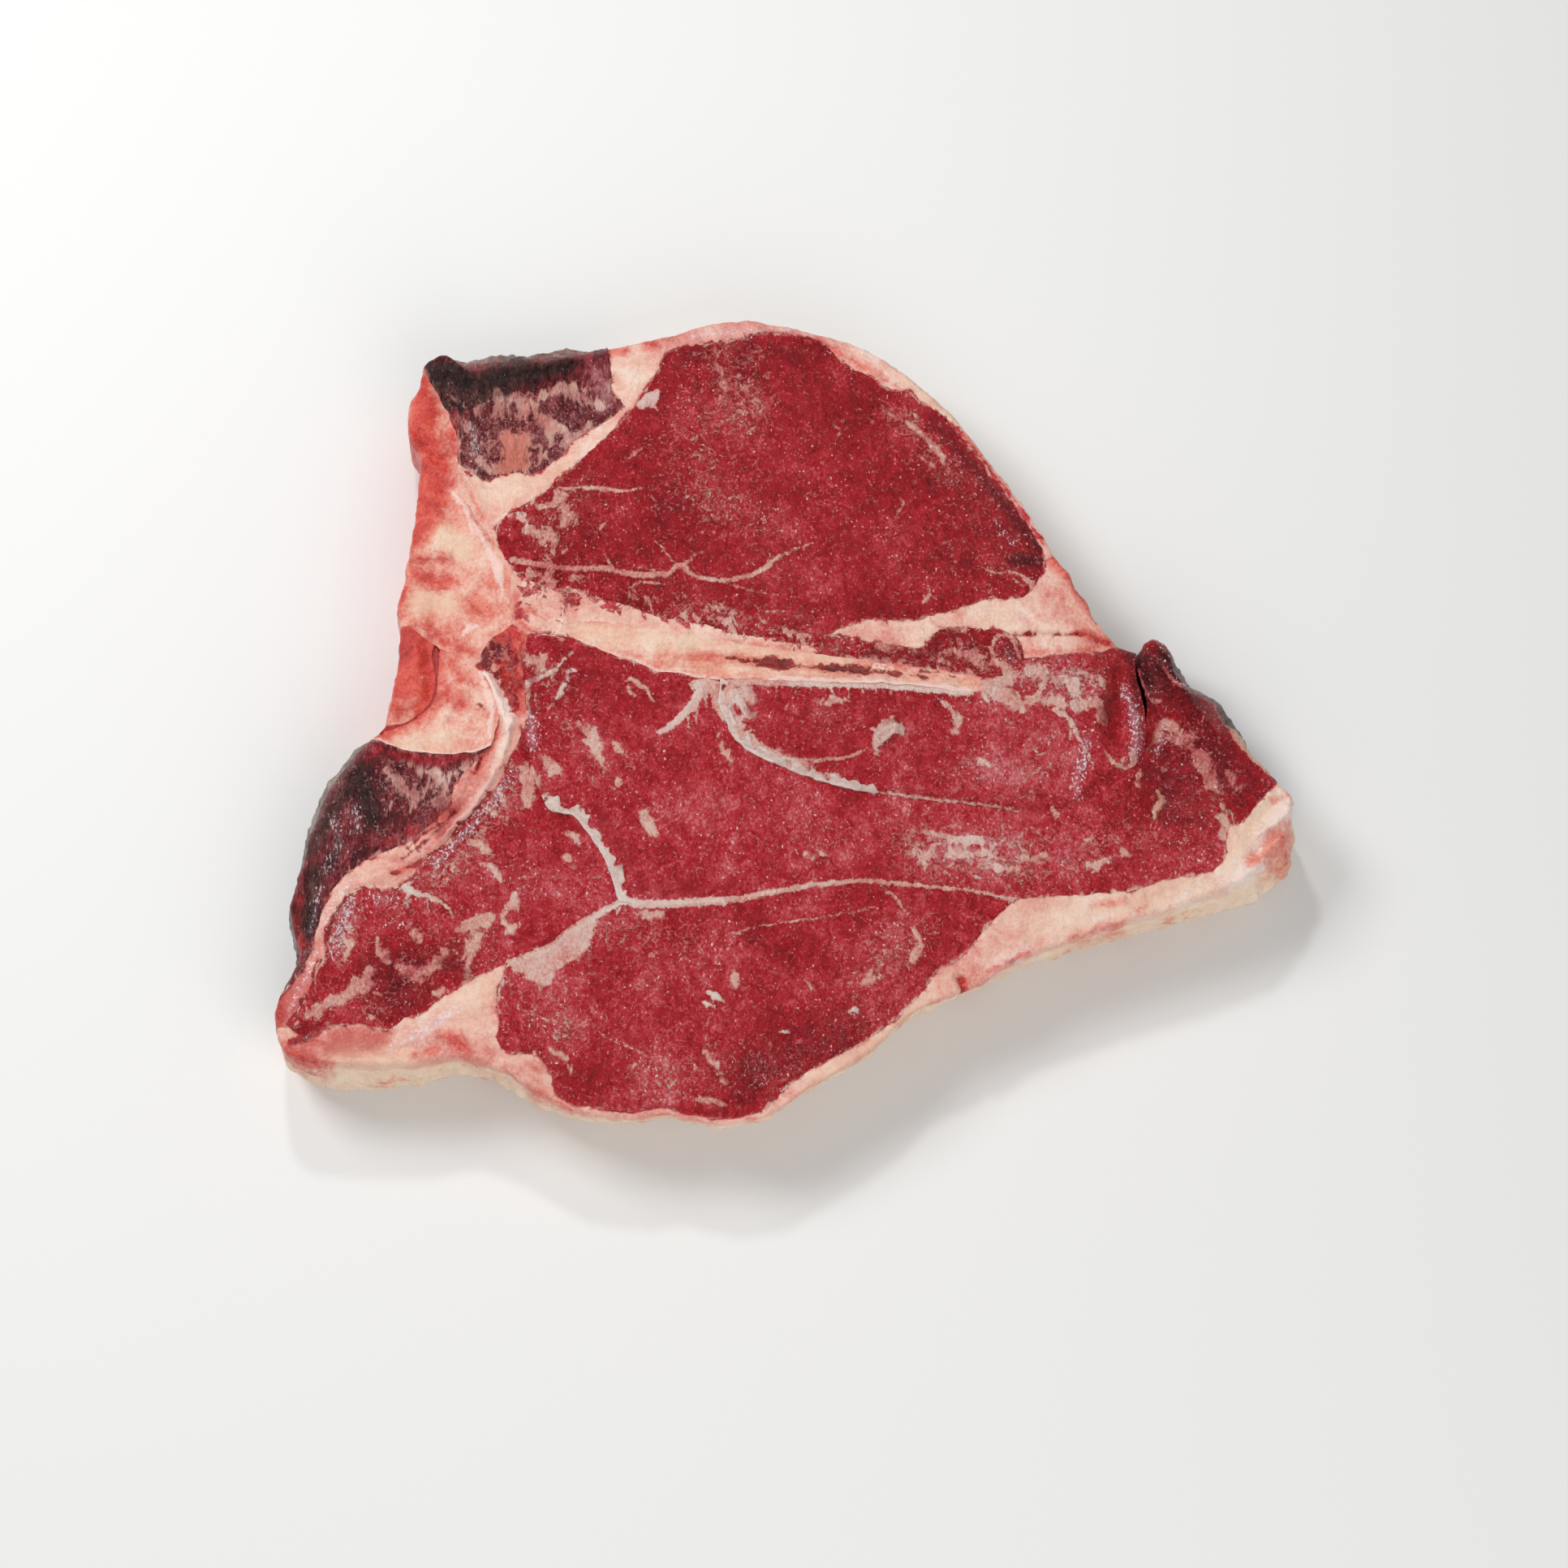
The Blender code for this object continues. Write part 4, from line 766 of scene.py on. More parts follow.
def sawnBone():
    # sawn bone: cream and pink, red where the marrow bled, with pores over it and marrow in its hollows
    material = bpy.data.materials.new("sawnBone")
    material.use_nodes = True
    tree = material.node_tree
    add = functools.partial(node, tree)
    marks = ("blood", "shade", "marrow", "fat", "marble", "yellow")
    mark = {k: add("Attribute", out=2, attribute_name=k) for k in marks}
    place = add("VectorMath", [add("TexCoord", out=3), (1000, 1000, 1000)], operation="MULTIPLY")  # in mm
    cloud = add("TexNoise", {"Vector": place, "Scale": 1 / 7.0, "Detail": 5.0, "Roughness": 0.6,
                             "Distortion": 0.4})
    pore = add("TexNoise", {"Vector": place, "Scale": 1 / 0.9, "Detail": 4.0, "Roughness": 0.65})
    along = add("VectorMath", [place, (0.09, 0.75, 0.3)], operation="MULTIPLY")
    streak = add("TexNoise", {"Vector": along, "Scale": 1.0, "Detail": 5.0, "Roughness": 0.6})
    streak = add("Math", [add("Math", [streak, 0.5], operation="SUBTRACT"), mark["marble"]],
                 operation="MULTIPLY")
    tone = add("Math", [mark["shade"], 0.3, -0.5], operation="MULTIPLY_ADD")
    tone = add("Math", [pore, 0.8, tone], operation="MULTIPLY_ADD")
    tone = add("Math", [streak, 0.7, tone], operation="MULTIPLY_ADD")
    tone = add("Math", [cloud, 1.2, tone], operation="MULTIPLY_ADD")
    colour = add("ValToRGB", [tone], stops=[(0.15, "#cb5140"), (0.33, "#e07c68"), (0.48, "#e69a88"),
                                            (0.66, "#edb9a6"), (0.9, "#f4d6c7")])
    yellow = add("MapRange", [mark["yellow"], 0.0, 1.0, 0.0, 0.8])
    colour = add("Mix", {0: yellow, 6: colour, 7: "#e9c6a8"}, **inColour)
    ragged = add("TexNoise", {"Vector": place, "Scale": 1 / 3.4, "Detail": 7.0, "Roughness": 0.68,
                              "Distortion": 0.6})
    ragged = add("Math", [ragged, 11.0, -5.5], operation="MULTIPLY_ADD")
    soak = add("Math", [ragged, mark["blood"]], operation="ADD")
    soak = add("MapRange", [soak, -2.4, 3.2, 0.0, 0.95], **softly)
    bled = add("ValToRGB", [tone], stops=[(0.2, "#a0100c"), (0.5, "#cf3427"), (0.85, "#e4674f")])
    colour = add("Mix", {0: soak, 6: colour, 7: bled}, **inColour)
    hollow = add("Math", [ragged, 0.6, mark["marrow"]], operation="MULTIPLY_ADD")
    hollow = add("MapRange", [hollow, -0.3, 0.5, 0.0, 0.95], **softly)
    marrow = add("ValToRGB", [tone], stops=[(0.2, "#5c0408"), (0.5, "#920c15"), (0.8, "#cc3036")])
    colour = add("Mix", {0: hollow, 6: colour, 7: marrow}, **inColour)
    pale = add("Math", [ragged, 0.4, mark["fat"]], operation="MULTIPLY_ADD")
    pale = add("MapRange", [pale, -0.3, 0.7, 0.0, 0.85], **softly)
    colour = add("Mix", {0: pale, 6: colour, 7: "#f2d0c6"}, **inColour)
    height = add("Math", [pore, 0.35, add("Math", [hollow, -0.3], operation="MULTIPLY")],
                 operation="MULTIPLY_ADD")
    height = add("Math", [cloud, 0.9, height], operation="MULTIPLY_ADD")
    relief = add("Bump", {"Height": height, "Strength": 1.0, "Distance": 0.001})
    shader = tree.nodes["Principled BSDF"]
    tree.links.new(colour, shader.inputs["Base Color"])
    tree.links.new(relief, shader.inputs["Normal"])
    tree.links.new(add("MapRange", [pore, 0.3, 0.7, 0.25, 0.45]), shader.inputs["Roughness"])
    shader.inputs["IOR"].default_value = 1.45
    shader.inputs["Subsurface Weight"].default_value = 0.08
    shader.inputs["Subsurface Radius"].default_value = (1.0, 0.5, 0.35)
    shader.inputs["Subsurface Scale"].default_value = 0.001
    return material


finishes = {"lean": rawBeef(), "fat": beefFat(), "crust": driedBeef(), "bone": sawnBone()}
print("finishes mixed")

# The pieces. Fat, blood and other marks are strokes, each a half width in mm (or several along it) and the
# places it passes; lean strokes are holes in the fat. Membrane strokes give a lilac tint that is partly a
# painted sheen, and crowd painted glints. Shade, marble, yellow, torn and ridges are soft spots: strength,
# radius, places. Ledges are torn edges that stand up: path, breadth. A tie pairs a place of the upper edge
# with one of the lower. Lift is a rise in mm and a tilt along X and Y.

# the large muscle above the finger bone, veined from the spine side
eye = {
    "node": "eye_muscle", "slot": "lean", "start": "eyeFoot", "lift": (0.6, 0, 0),
    "step": 0.59, "upper": ["chineEye", "eyeUpper"], "lower": ["eyeBonefat", "eyeStrip", "eyeWedge"],
    "fat": [
        ((0.2, 0.9, 0.8, 0.3), [(-68.5, 71.5), (-63, 71), (-56.5, 71), (-49.5, 70), (-42, 71)]),
        ((0.3, 0.1), [(-61.5, 71.5), (-61, 73), (-59, 75)]),
        ((1.1, 1.0, 0.95, 0.8), [(-79.5, 49), (-75, 48), (-69.5, 47), (-63.5, 46), (-59, 46), (-53, 46),
         (-48, 45), (-43.5, 44), (-38, 44), (-34.5, 44.5), (-33, 46.5)]),
        ((0.9, 0.8, 0.8, 0.3), [(-33, 46.5), (-30.5, 47), (-29, 44.5), (-25.5, 43), (-20.5, 42.5),
         (-15, 43), (-11.5, 44), (-8, 46), (-5, 48.5), (-2, 50.5), (1, 52), (6, 54)]),
        ((0.6, 0.1), [(-51.5, 47), (-52.5, 49), (-54, 51)]),
        ((0.7, 0.3), [(-31.5, 46.5), (-29, 48.5), (-26.5, 50.5), (-24.5, 51)]),
        ((0.5, 0.1), [(-32, 46.5), (-35, 50), (-37.5, 53), (-39, 54.5)]),
        ((0.5, 0.1), [(-7.5, 46.5), (-6, 49.5), (-6, 51.5)]),
        ((0.5, 0.1), [(-36.5, 44), (-41.5, 46), (-45, 46.5)]),
        ((0.3, 0.4, 0.1), [(-20, 42.5), (-14, 40), (-6, 38.5)]),
        ((0.5, 0.9, 0.3), [(-47, 80.5), (-45, 82), (-43, 83.5)]),
        ((0.3, 0.6, 0.2), [(-54.5, 57.5), (-54, 59.5), (-52.5, 60.5)]),
        ((1.4, 2.4, 1.4), [(-43.5, 97.5), (-41, 99), (-39, 101)]), ((0.8, 0.4), [(-41, 98.5), (-38.5, 96)]),
        ((0.1, 0.25, 0.1), [(-27.5, 84.5), (-24, 82.5), (-18, 80.5)]),
        ((0.3, 0.5, 0.4, 0.8), [(54.5, 46.5), (58.5, 45), (63.5, 45), (67.5, 42.5)]),
        ((0.4, 0.2), [(63.5, 43), (66, 40.5)]), ((0.5, 0.8, 0.3), [(37.5, 35.5), (39, 37.5), (39.5, 40)]),
        ((0.6, 1.2, 0.5), [(66.5, 43), (68.5, 41.5), (68.5, 39)]),
        ((0.2, 0.5, 0.2), [(-46, 40), (-42, 42), (-36, 41)]),
        ((0.2, 0.5, 0.2), [(-12, 36), (-8, 33), (-2, 33)]),
        ((0.2, 0.4, 0.1), [(30, 62), (32, 66), (31, 70)]),
        ((0.2, 0.4, 0.1), [(12, 92), (14, 89), (13, 86)]),
    ],
    "patch": [
        ((0.6, 1.6, 0.8), [(-81.5, 62.5), (-78.5, 62.5), (-76, 61.5)]),
        ((0.8, 1.5, 1.0), [(-74, 66.5), (-70.5, 65.5), (-67.5, 66.5)]),
        ((1.0, 2.0, 2.0, 1.0), [(-67, 69.5), (-64.5, 65.5), (-64, 61.5), (-66, 59)]),
        ((1.0, 1.6, 0.8), [(-75, 58.5), (-70.5, 57.5), (-67, 57)]),
        ((1.0, 0.8, 0.7, 0.9), [(-68.5, 57), (-68, 53.5), (-69.5, 51), (-68, 47)]),
        ((0.5, 0.9, 0.3), [(-70.5, 54.5), (-68.5, 51.5), (-64, 51.5)]),
        ((0.8, 1.2, 1.2), [(-68.5, 46.5), (-69, 43.5), (-68, 40.5)]),
        ((0.6, 1.2, 0.8), [(-78, 44.5), (-74.5, 45), (-71, 43.5)]),
        ((0.5, 1.0, 0.6), [(-63, 42.5), (-58.5, 42.5)]),
        ((0.4, 0.8, 0.5), [(-50, 38.5), (-45, 37.5), (-40, 36)]),
        ((0.5, 0.9, 0.5), [(-30, 31.5), (-22, 30.5), (-14, 28.5)]),
        ((0.4, 0.8, 0.5), [(-6, 27.5), (0, 26), (6, 25.5)]), ((0.3, 0.7, 0.4), [(-24, 34), (-16, 33.5)]),
        ((0.3, 0.8, 0.4), [(-22, 111), (-20, 107), (-19, 103)]), ((0.3, 0.6, 0.3), [(-15, 100), (-13, 96)]),
        ((0.4, 0.9, 0.5), [(33, 92), (38, 88), (42, 83), (46, 76)]),
        ((0.3, 0.6, 0.3), [(38, 81), (42, 77)]),
    ],
    "lean": [(1.5, [(-74.5, 63)]), (1.2, [(-72.5, 60.5)]), (0.8, [(-68, 62)]), (0.9, [(-77.5, 66)])],
    "yellow": [(-0.7, 3, [(-43, 98), (-39, 101)])],
    "marble": [
        (1.5, 9, [(-20, 113), (-12, 98)]), (1.4, 6, [(31, 94), (45, 78)]),
        (0.7, 12, [(-30, 84), (-22, 72)]), (0.7, 9, [(-32, 70), (-6, 60)]), (0.9, 8, [(-30, 33), (2, 29)]),
        (0.8, 7, [(-62, 68), (-70, 56)]), (0.6, 8, [(44, 50), (60, 46)]), (0.5, 12, [(-20, 90)]),
        (0.5, 9, [(-60, 42), (-40, 38)]),
    ],
    "marbleBase": -0.35, "tornBase": 0.45, "torn": [(0.6, 12, [(-74, 60)]), (0.9, 5, "eyeBonefat")],
    "shadeBase": 0.05,
    "shade": [
        (-0.45, 13, [(-62, 62)]), (-0.4, 6, [(-35, 112), (-8, 117), (10, 113)]), (-0.35, 8, [(22, 100)]),
        (-0.7, 10, [(46, 76), (66, 54)]), (0.35, 14, [(-14, 80)]), (0.3, 12, [(12, 45)]),
        (-0.2, 7, [(-40, 38)]), (0.35, 5, [(30, 94), (44, 80)]),
    ],
    "dried": [((0.3, 1.2, 1.2), [(42, 91), (54, 76), (64, 62), (71, 52)]), (2.2, [(64, 49), (70, 48.5)])],
    "membraneAndSheen": [(0.8, [(59, 60), (63, 54)])],
}

# the muscle under the finger bone, which ends in the curled flap at the right
centre = {
    "node": "centre_muscle", "slot": "lean", "start": "gristleFork",
    "lift": (-0.3, -0.006, -0.02), "step": 0.63,
    "upper": ["gristleCentre", "bonefatCentre", "fingerCentre", "sideCentre", "flapCleft", "flapEdge"],
    "lower": ["leftCentre", "centreBottom", "centreCap"],
    "ties": [
        ((-74.5, 26), (-72, -17)), ((-41, 17), (-57, -32)), ((-20, 12.5), (-48, -53.5)),
        ((13, -20), (0, -50)), ((64, -27.5), (60, -53)), ((99.8, -1), (104, -47)),
        ((99.3, 20.5), (116, -45)), ((120, 0), (121, -36)),
    ],
    "ledges": [([(-48, -53.5), (-51, -43), (-57.5, -32), (-61, -28), (-67, -26.5), (-69, -27)], 2.2),
               ([(-60, -29.5), (-64, -28), (-69, -26)], 3.2)],
    "crag": [(1.4, 8.0, 1.0, 3), (0.7, 3.0, 1.6, 2)],
    "fat": [
        ((1.8, 1.7, 1.1, 0.8, 0.7, 0.6), "centreBottom"),
        ((0.5, 0.2), [(62, -53.2), (40, -51.5), (20, -49)]),
        ((1.3, 0.8, 0.5, 0.2), [(-74, 11.5), (-71, 13.5), (-67, 15.5), (-64.5, 18.5), (-62.5, 20.5)]),
        ((0.2, 0.4, 0.2), [(-69.5, 9.5), (-67.8, 13), (-66, 16)]), ((0.9, 0.6), [(-74.6, 10.5), (-74, 3)]),
        ((0.4, 1.0, 0.6), [(-66.5, 6.5), (-64.5, 9.5), (-64, 11)]),
        ((0.3, 0.7, 0.5), [(-63.5, 12.5), (-62.5, 15.5), (-61, 15)]),
        ((0.2, 0.5, 0.3), [(-68.5, 3.5), (-67, 5.5)]), ((0.4, 0.7, 0.3), [(-72, 6), (-72, 8.5)]),
        ((0.3, 0.9, 0.8, 0.6), [(-47.5, 11.5), (-45.5, 12.5), (-43, 11.5), (-41, 10), (-40, 7.5),
         (-38.5, 6)]), ((0.5, 0.7, 0.3), [(-46, 10.5), (-45, 8.5), (-43.5, 8)]),
        ((1.8, 2.4, 1.8), [(-27, 11), (-23.5, 11), (-20.5, 10.5)]),
        ((1.2, 1.6, 0.4), [(-22, 11), (-21, 6), (-19, 0)]),
        ((1.8, 1.5, 1.2, 0.9), [(-25.5, 10), (-27.5, 5.5), (-30.5, 2), (-33.5, -1), (-37, -3.5)]),
        ((0.6, 0.2), [(-26.5, 5.5), (-26.5, 0)]), ((0.5, 0.2), [(-29, 2.5), (-29, -2)]),
        ((0.6, 0.2), [(-24, 9), (-24, 4)]),
        ((0.5, 1.2, 1.0, 0.5), [(102.5, -21), (104, -24), (102, -26.5), (101.5, -29.5)]),
        ((0.3, 0.5, 0.3), [(98.3, 16), (99.2, 11.5), (100.6, 7.5), (102, 5.7), (104.5, 6)]),
        ((0.4, 0.8, 0.5, 0.3), [(104.5, 18), (107, 12.5), (110, 10), (114, 8)]),
        ((0.3, 0.9, 1.0, 0.7), [(117, 6), (121, 0), (125, -6), (129, -10.5), (132.5, -14), (136, -17)]),
        ((0.2, 0.5, 0.2), [(100.6, 7.5), (102, 6), (104.5, 6.5)]),
        ((0.3, 0.6, 0.2), [(106, 24), (108, 20), (110, 17.5)]),
        ((0.5, 1.0, 0.5), [(97, -17.5), (97.5, -16.5), (98, -14.5)]),
        ((0.4, 0.9, 0.4), [(96.5, -18.5), (98, -19.5)]),
    ],
    "patch": [
        ((1.5, 2.4, 2.2), [(-73.5, 18.5), (-71.5, 18.5), (-71, 17)]),
        ((0.6, 1.0, 0.6), [(-69, 19), (-68.5, 17)]),
        ((0.8, 1.5, 1.4, 0.8), [(-60, -0.5), (-57.5, -3), (-55, -5.5), (-53.5, -8.5)]),
        ((0.6, 1.2, 1.4, 0.8), [(-58, -6), (-54.5, -9.5), (-52.5, -14)]),
        ((0.6, 1.0, 0.6), [(-50, -6), (-48, -9)]),
        ((0.8, 1.8, 2.0, 1.0), [(-42, -27), (-40, -29.5), (-39, -32), (-38, -34)]),
        ((0.6, 1.2, 0.6), [(-48, -18), (-48.5, -19.5), (-49, -21)]),
        ((1.4, 2.2, 1.6), [(-69, -11.5), (-67.5, -13.5), (-66.5, -15)]),
        ((0.8, 1.6, 1.0), [(-72.5, -15), (-71.5, -20)]),
        ((0.8, 1.8, 1.4), [(34.5, -38), (37, -40), (37.5, -42.5)]),
        ((0.8, 1.4, 1.2, 0.8), [(44, -39), (48, -40), (52, -39.5), (57, -40.5)]),
        ((0.6, 1.2, 0.8), [(55.5, -43), (58.5, -44), (63, -44)]),
        ((0.6, 1.2, 1.4, 0.8), [(37.5, -33), (41, -34.5), (46.5, -35.5), (53, -36)]),
        ((0.5, 1.0, 0.6), [(62, -39), (66, -41), (71, -40.5)]),
        ((0.5, 1.0, 0.6), [(76, -44), (84, -43), (91, -40)]),
        ((0.4, 0.9, 0.4), [(73, -26), (74, -27), (74, -29)]),
        ((0.5, 1.0, 0.5), [(82.5, -36), (85, -36.5), (87.5, -37)]),
        ((0.8, 1.8, 2.4, 2.0, 0.9), [(112.5, -8), (115, -11), (116.5, -14.5), (117.5, -18), (119, -21.5)]),
        ((0.8, 1.6, 1.0), [(105, 0), (107, -2), (108, -3.5)]),
        ((1.0, 1.8, 1.2), [(106.5, -5), (109.5, -5.5), (112.5, -4.5)]),
        ((0.6, 1.0, 0.6), [(111, -7.5), (113, -7.5)]),
        ((0.8, 1.4, 0.8), [(122, -15.5), (124, -18), (125, -20)]),
        ((0.5, 0.9, 0.6), [(118.5, -21), (120, -25), (121.5, -27)]),
        ((0.8, 2.0, 1.4), [(120.5, -28), (121.5, -31.5), (120, -34.5)]),
        ((0.3, 0.8, 0.4), [(91.5, -39), (94.5, -40)]),
        ((0.5, 1.1, 0.6), [(100.5, -8), (103, -4), (104, -1)]),
        ((0.3, 0.8, 0.4), [(-20, -4), (-19, -9), (-15, -14)]),
        ((0.3, 0.8, 0.4), [(2, -38), (5, -40), (9, -40)]),
    ],
    "tornBase": 0.7,
    "blood": [
        ((1.2, 2.2, 2.0, 0.8), [(-41, -50), (-45.5, -42), (-50, -33), (-56, -24)]),
        ((1.2, 0.6), [(-42, -50.5), (-28, -51), (-12, -49)]), (1.6, [(101.5, 3), (101, -4), (101.5, -8)]),
        (1.2, [(-73, 14), (-72.5, 4)]), (1.6, [(-34, 7), (-31, 9)]), (0.8, [(-70, 24.5), (-64, 22.5)]),
        (0.8, [(-76, -2), (-74, -9)]),
    ],
    # membrane strokes: the lilac tint here is partly painted sheen and glints on the wet surface
    "membraneAndSheen": [
        (2.6, [(-73.5, 1), (-72.5, -8)]), (1.8, [(103.5, -1), (104.5, -5), (102.5, -9)]),
        (0.7, [(-14, -28), (-16, -36)]), ((0.8, 1.2), [(99.5, 22), (103, 20), (107, 16), (110, 11)]),
        ((0.6, 1.0), [(103, 24.5), (106, 21), (109, 17), (113, 11.5)]), (0.8, [(101, 9), (103, 7.5)]),
    ],
    "dried": [((0.8, 2.4, 1.4, -0.5), [(104.5, 22), (109, 14.5), (112, 8), (117, 2)]),
              (0.4, [(101, 13), (103, 8)])],
    # the narrow dark spot down the cleft, from (98.5, 20) to (100, 6), is painted shadow
    "shade": [
        (0.5, 12, [(46, -38), (78, -40)]), (-1.3, 9, [(105, 16), (114, 2)]),
        (-1.0, 8, [(119, -10), (127, -22)]), (-1.4, 8, [(103, -14), (108, -26)]),
        (-1.4, 2.6, [(98.5, 20), (100, 6)]), (-0.3, 9, [(-60, 14)]), (-0.5, 5, [(103, 14), (106, 20)]),
        (0.4, 10, [(-20, -32)]), (-0.3, 8, [(98, -30)]), (-0.4, 7, [(112, -36)]), (-0.4, 5, [(-30, -12)]),
        (0.4, 8, [(-66, -18)]),
    ],
    "shadeBase": 0.5,
    "marble": [
        (1.9, 9, [(36, -38), (60, -40)]), (0.8, 8, [(-62, 2), (-54, -12)]),
        (0.9, 7, [(112, -8), (120, -18)]), (0.9, 9, [(70, -44), (95, -34)]), (0.6, 8, [(8, -36)]),
        (1.0, 5, [(-70, 16), (-64, 12)]),
    ],
    "marbleBase": -0.25,
    "yellow": [
        (-0.6, 2.5, [(-48, -53), (-36, -54), (-20, -53)]), (-0.8, 1.6, [(-74, 11.5), (-62.5, 20.5)]),
        (-0.7, 2.5, [(-26, 10), (-34, 0)]), (0.6, 2.0, [(103, -21), (102, -29)]),
        (0.9, 1.5, [(122, -1), (133, -14)]), (-0.8, 2.0, [(-66, 7), (-61, 15)]),
    ],
    "ridges": [
        (0.9, 3.0, [(-22, -22), (-25, -38)]), (0.8, 2.6, [(-13, -24), (-16, -36)]),
        (-0.7, 2.6, [(-18, -23), (-20, -37)]), (0.8, 4.0, [(-40, -47), (-46, -36)]),
        (1.2, 2.0, [(102.5, -21), (103, -28)]), (-1.4, 2.5, [(105, 2), (101, -4)]),
        (1.6, 2.0, [(101, 18), (102.5, 8)]), (-0.9, 1.2, [(105, 19), (106.5, 8)]),
        (0.9, 1.2, [(104, 23), (110, 13)]), (0.7, 2.0, [(-45, 12), (-39, 6)]), (-0.9, 1.2, [(-43.5, 9)]),
        (-0.8, 2.0, [(-30, 10), (-32, 5)]), (-0.7, 2.0, [(-69, -4), (-63, -14)]),
        (0.8, 1.0, [(122, 0), (133, -14)]), (1.4, 1.2, [(108, 17), (113, 6), (120, -4)]),
        (-1.2, 1.2, [(106, 14), (110, 4), (115, -4)]), (1.3, 1.6, [(103, 14), (105.5, 3)]),
    ],
}

# the muscle at the lower left, below the spine
left = {
    "node": "left_muscle", "slot": "lean", "start": "tailInner",
    "lift": (-1.2, -0.02, 0), "upper": ["gristleLeft"], "lower": ["leftCap", "leftBottom", "leftCentre"],
    "fat": [
        ((1.3, 0.9, 0.8, 0.5, 0.2), [(-107.5, -49), (-103.5, -51), (-99, -52.5), (-96, -54.5),
         (-93.5, -58)]), ((0.8, 0.5, 0.3), [(-106, -50), (-107, -53), (-106.5, -55)]),
        ((1.0, 0.8), "leftBottom"), ((0.6, 0.3), [(-115, -80), (-112.5, -80.5)]),
        ((0.4, 0.8, 0.3), [(-117, -86), (-115.5, -87), (-113.5, -87.5)]),
    ],
    "patch": [
        ((0.5, 1.2, 0.9), [(-105.5, -60), (-104, -62), (-103, -64.5)]),
        ((0.8, 2.0, 2.4, 1.6), [(-93, -62), (-90, -60.5), (-86.5, -59), (-83.5, -58)]),
        ((1.6, 2.4, 1.4), [(-87, -62), (-88.5, -66), (-89.5, -70.5)]),
        ((0.9, 0.5), [(-89.5, -70.5), (-89.5, -74.5)]), ((0.5, 1.0, 0.6), [(-80.5, -57), (-79, -60)]),
        ((0.8, 1.8, 1.8, 1.5, 0.8), [(-109, -71.5), (-106, -73), (-102, -73.5), (-99, -71.5), (-96, -68)]),
        ((0.8, 1.4, 0.8), [(-105, -75.5), (-101, -76)]),
        ((1.2, 2.0, 2.0, 1.8, 1.2, 0.7), [(-114.5, -77.5), (-118.5, -78), (-121, -79.5), (-124, -81.5),
         (-127.5, -83), (-131, -85.5)]), ((0.7, 1.4, 0.9), [(-130.5, -85), (-134, -88), (-136, -90.5)]),
        ((1.4, 0.9), [(-116, -73.5), (-117.5, -77)]), ((1.0, 0.6), [(-120.5, -76), (-121, -79)]),
        ((0.6, 1.5, 0.9), [(-77, -51), (-77.5, -54.5), (-79.5, -57)]),
        ((0.8, 1.2, 0.6), [(-76, -60), (-79, -62.5)]),
        ((0.5, 1.3, 1.5, 0.6), [(-89.5, -35.5), (-87.5, -36), (-85.5, -38), (-83, -40)]),
        ((0.4, 1.0, 0.5), [(-86, -42), (-83, -44), (-80.5, -47.5)]),
        ((0.3, 0.8, 0.4), [(-64.5, -39), (-62.5, -40), (-61, -42.5)]),
        ((0.5, 1.0, 0.5), [(-63.5, -33), (-61, -34), (-59, -36)]),
        ((0.5, 1.2, 0.5), [(-114.5, -64), (-113, -68), (-111.5, -71)]),
        ((1.2, 2.2, 1.2), [(-75, -14.5), (-73.5, -18.5), (-74.5, -25)]),
        ((0.6, 1.2, 0.6), [(-82, -20), (-80, -25), (-79, -29)]),
        ((0.5, 1.0, 0.5), [(-86.5, -26), (-85, -26), (-83.5, -27)]),
        ((0.4, 0.9, 0.5), [(-123, -60), (-122, -66), (-123.5, -71)]),
        ((0.4, 0.8, 0.4), [(-98, -80), (-94, -79)]),
    ],
    "lean": [(0.8, [(-88.5, -63.5)]), (0.6, [(-86, -61)])], "tornBase": 0.55,
    "torn": [(0.4, 5, "gristleLeft")],
    "membraneAndSheen": [
        (2.0, [(-122, -54), (-124.5, -61), (-127, -69)]), (1.6, [(-116, -52), (-110, -53)]),
        (2.0, [(-99, -42), (-93, -35.5), (-86, -27)]), (1.8, [(-84, -25), (-78, -14)]),
        (0.8, [(-112, -60), (-108, -60)]),
    ],
    "marble": [
        (2.0, 5, [(-123, -57), (-124, -66)]), (1.8, 5, [(-98, -47), (-88, -33), (-80, -20)]),
        (0.8, 8, [(-104, -72), (-88, -62)]), (1.0, 6, [(-110, -54), (-102, -56)]), (0.8, 6, [(-75, -48)]),
        (0.8, 6, [(-128, -82), (-112, -84)]),
    ],
    "marbleBase": -0.25, "shadeBase": 0.4,
    "shade": [(-1.1, 8, [(-108, -82)]), (-0.8, 8, [(-90, -70), (-110, -74)]), (-0.3, 8, [(-76, -42)]),
              (0.3, 8, [(-98, -58)]), (-0.5, 6, [(-118, -70)]), (0.3, 6, [(-66, -50)])],
    "blood": [(0.5, [(-136, -92), (-128, -90.5)]), (0.8, [(-97, -70), (-90, -74)])],
    "dried": [(0.6, [(-136.5, -91), (-130, -90)])], "yellow": [(-0.6, 1.6, [(-107, -49), (-94, -57)])],
    "ridges": [(-0.8, 2.2, [(-113, -53), (-100, -47)]), (0.8, 1.5, [(-106, -50), (-95, -56)])],
}

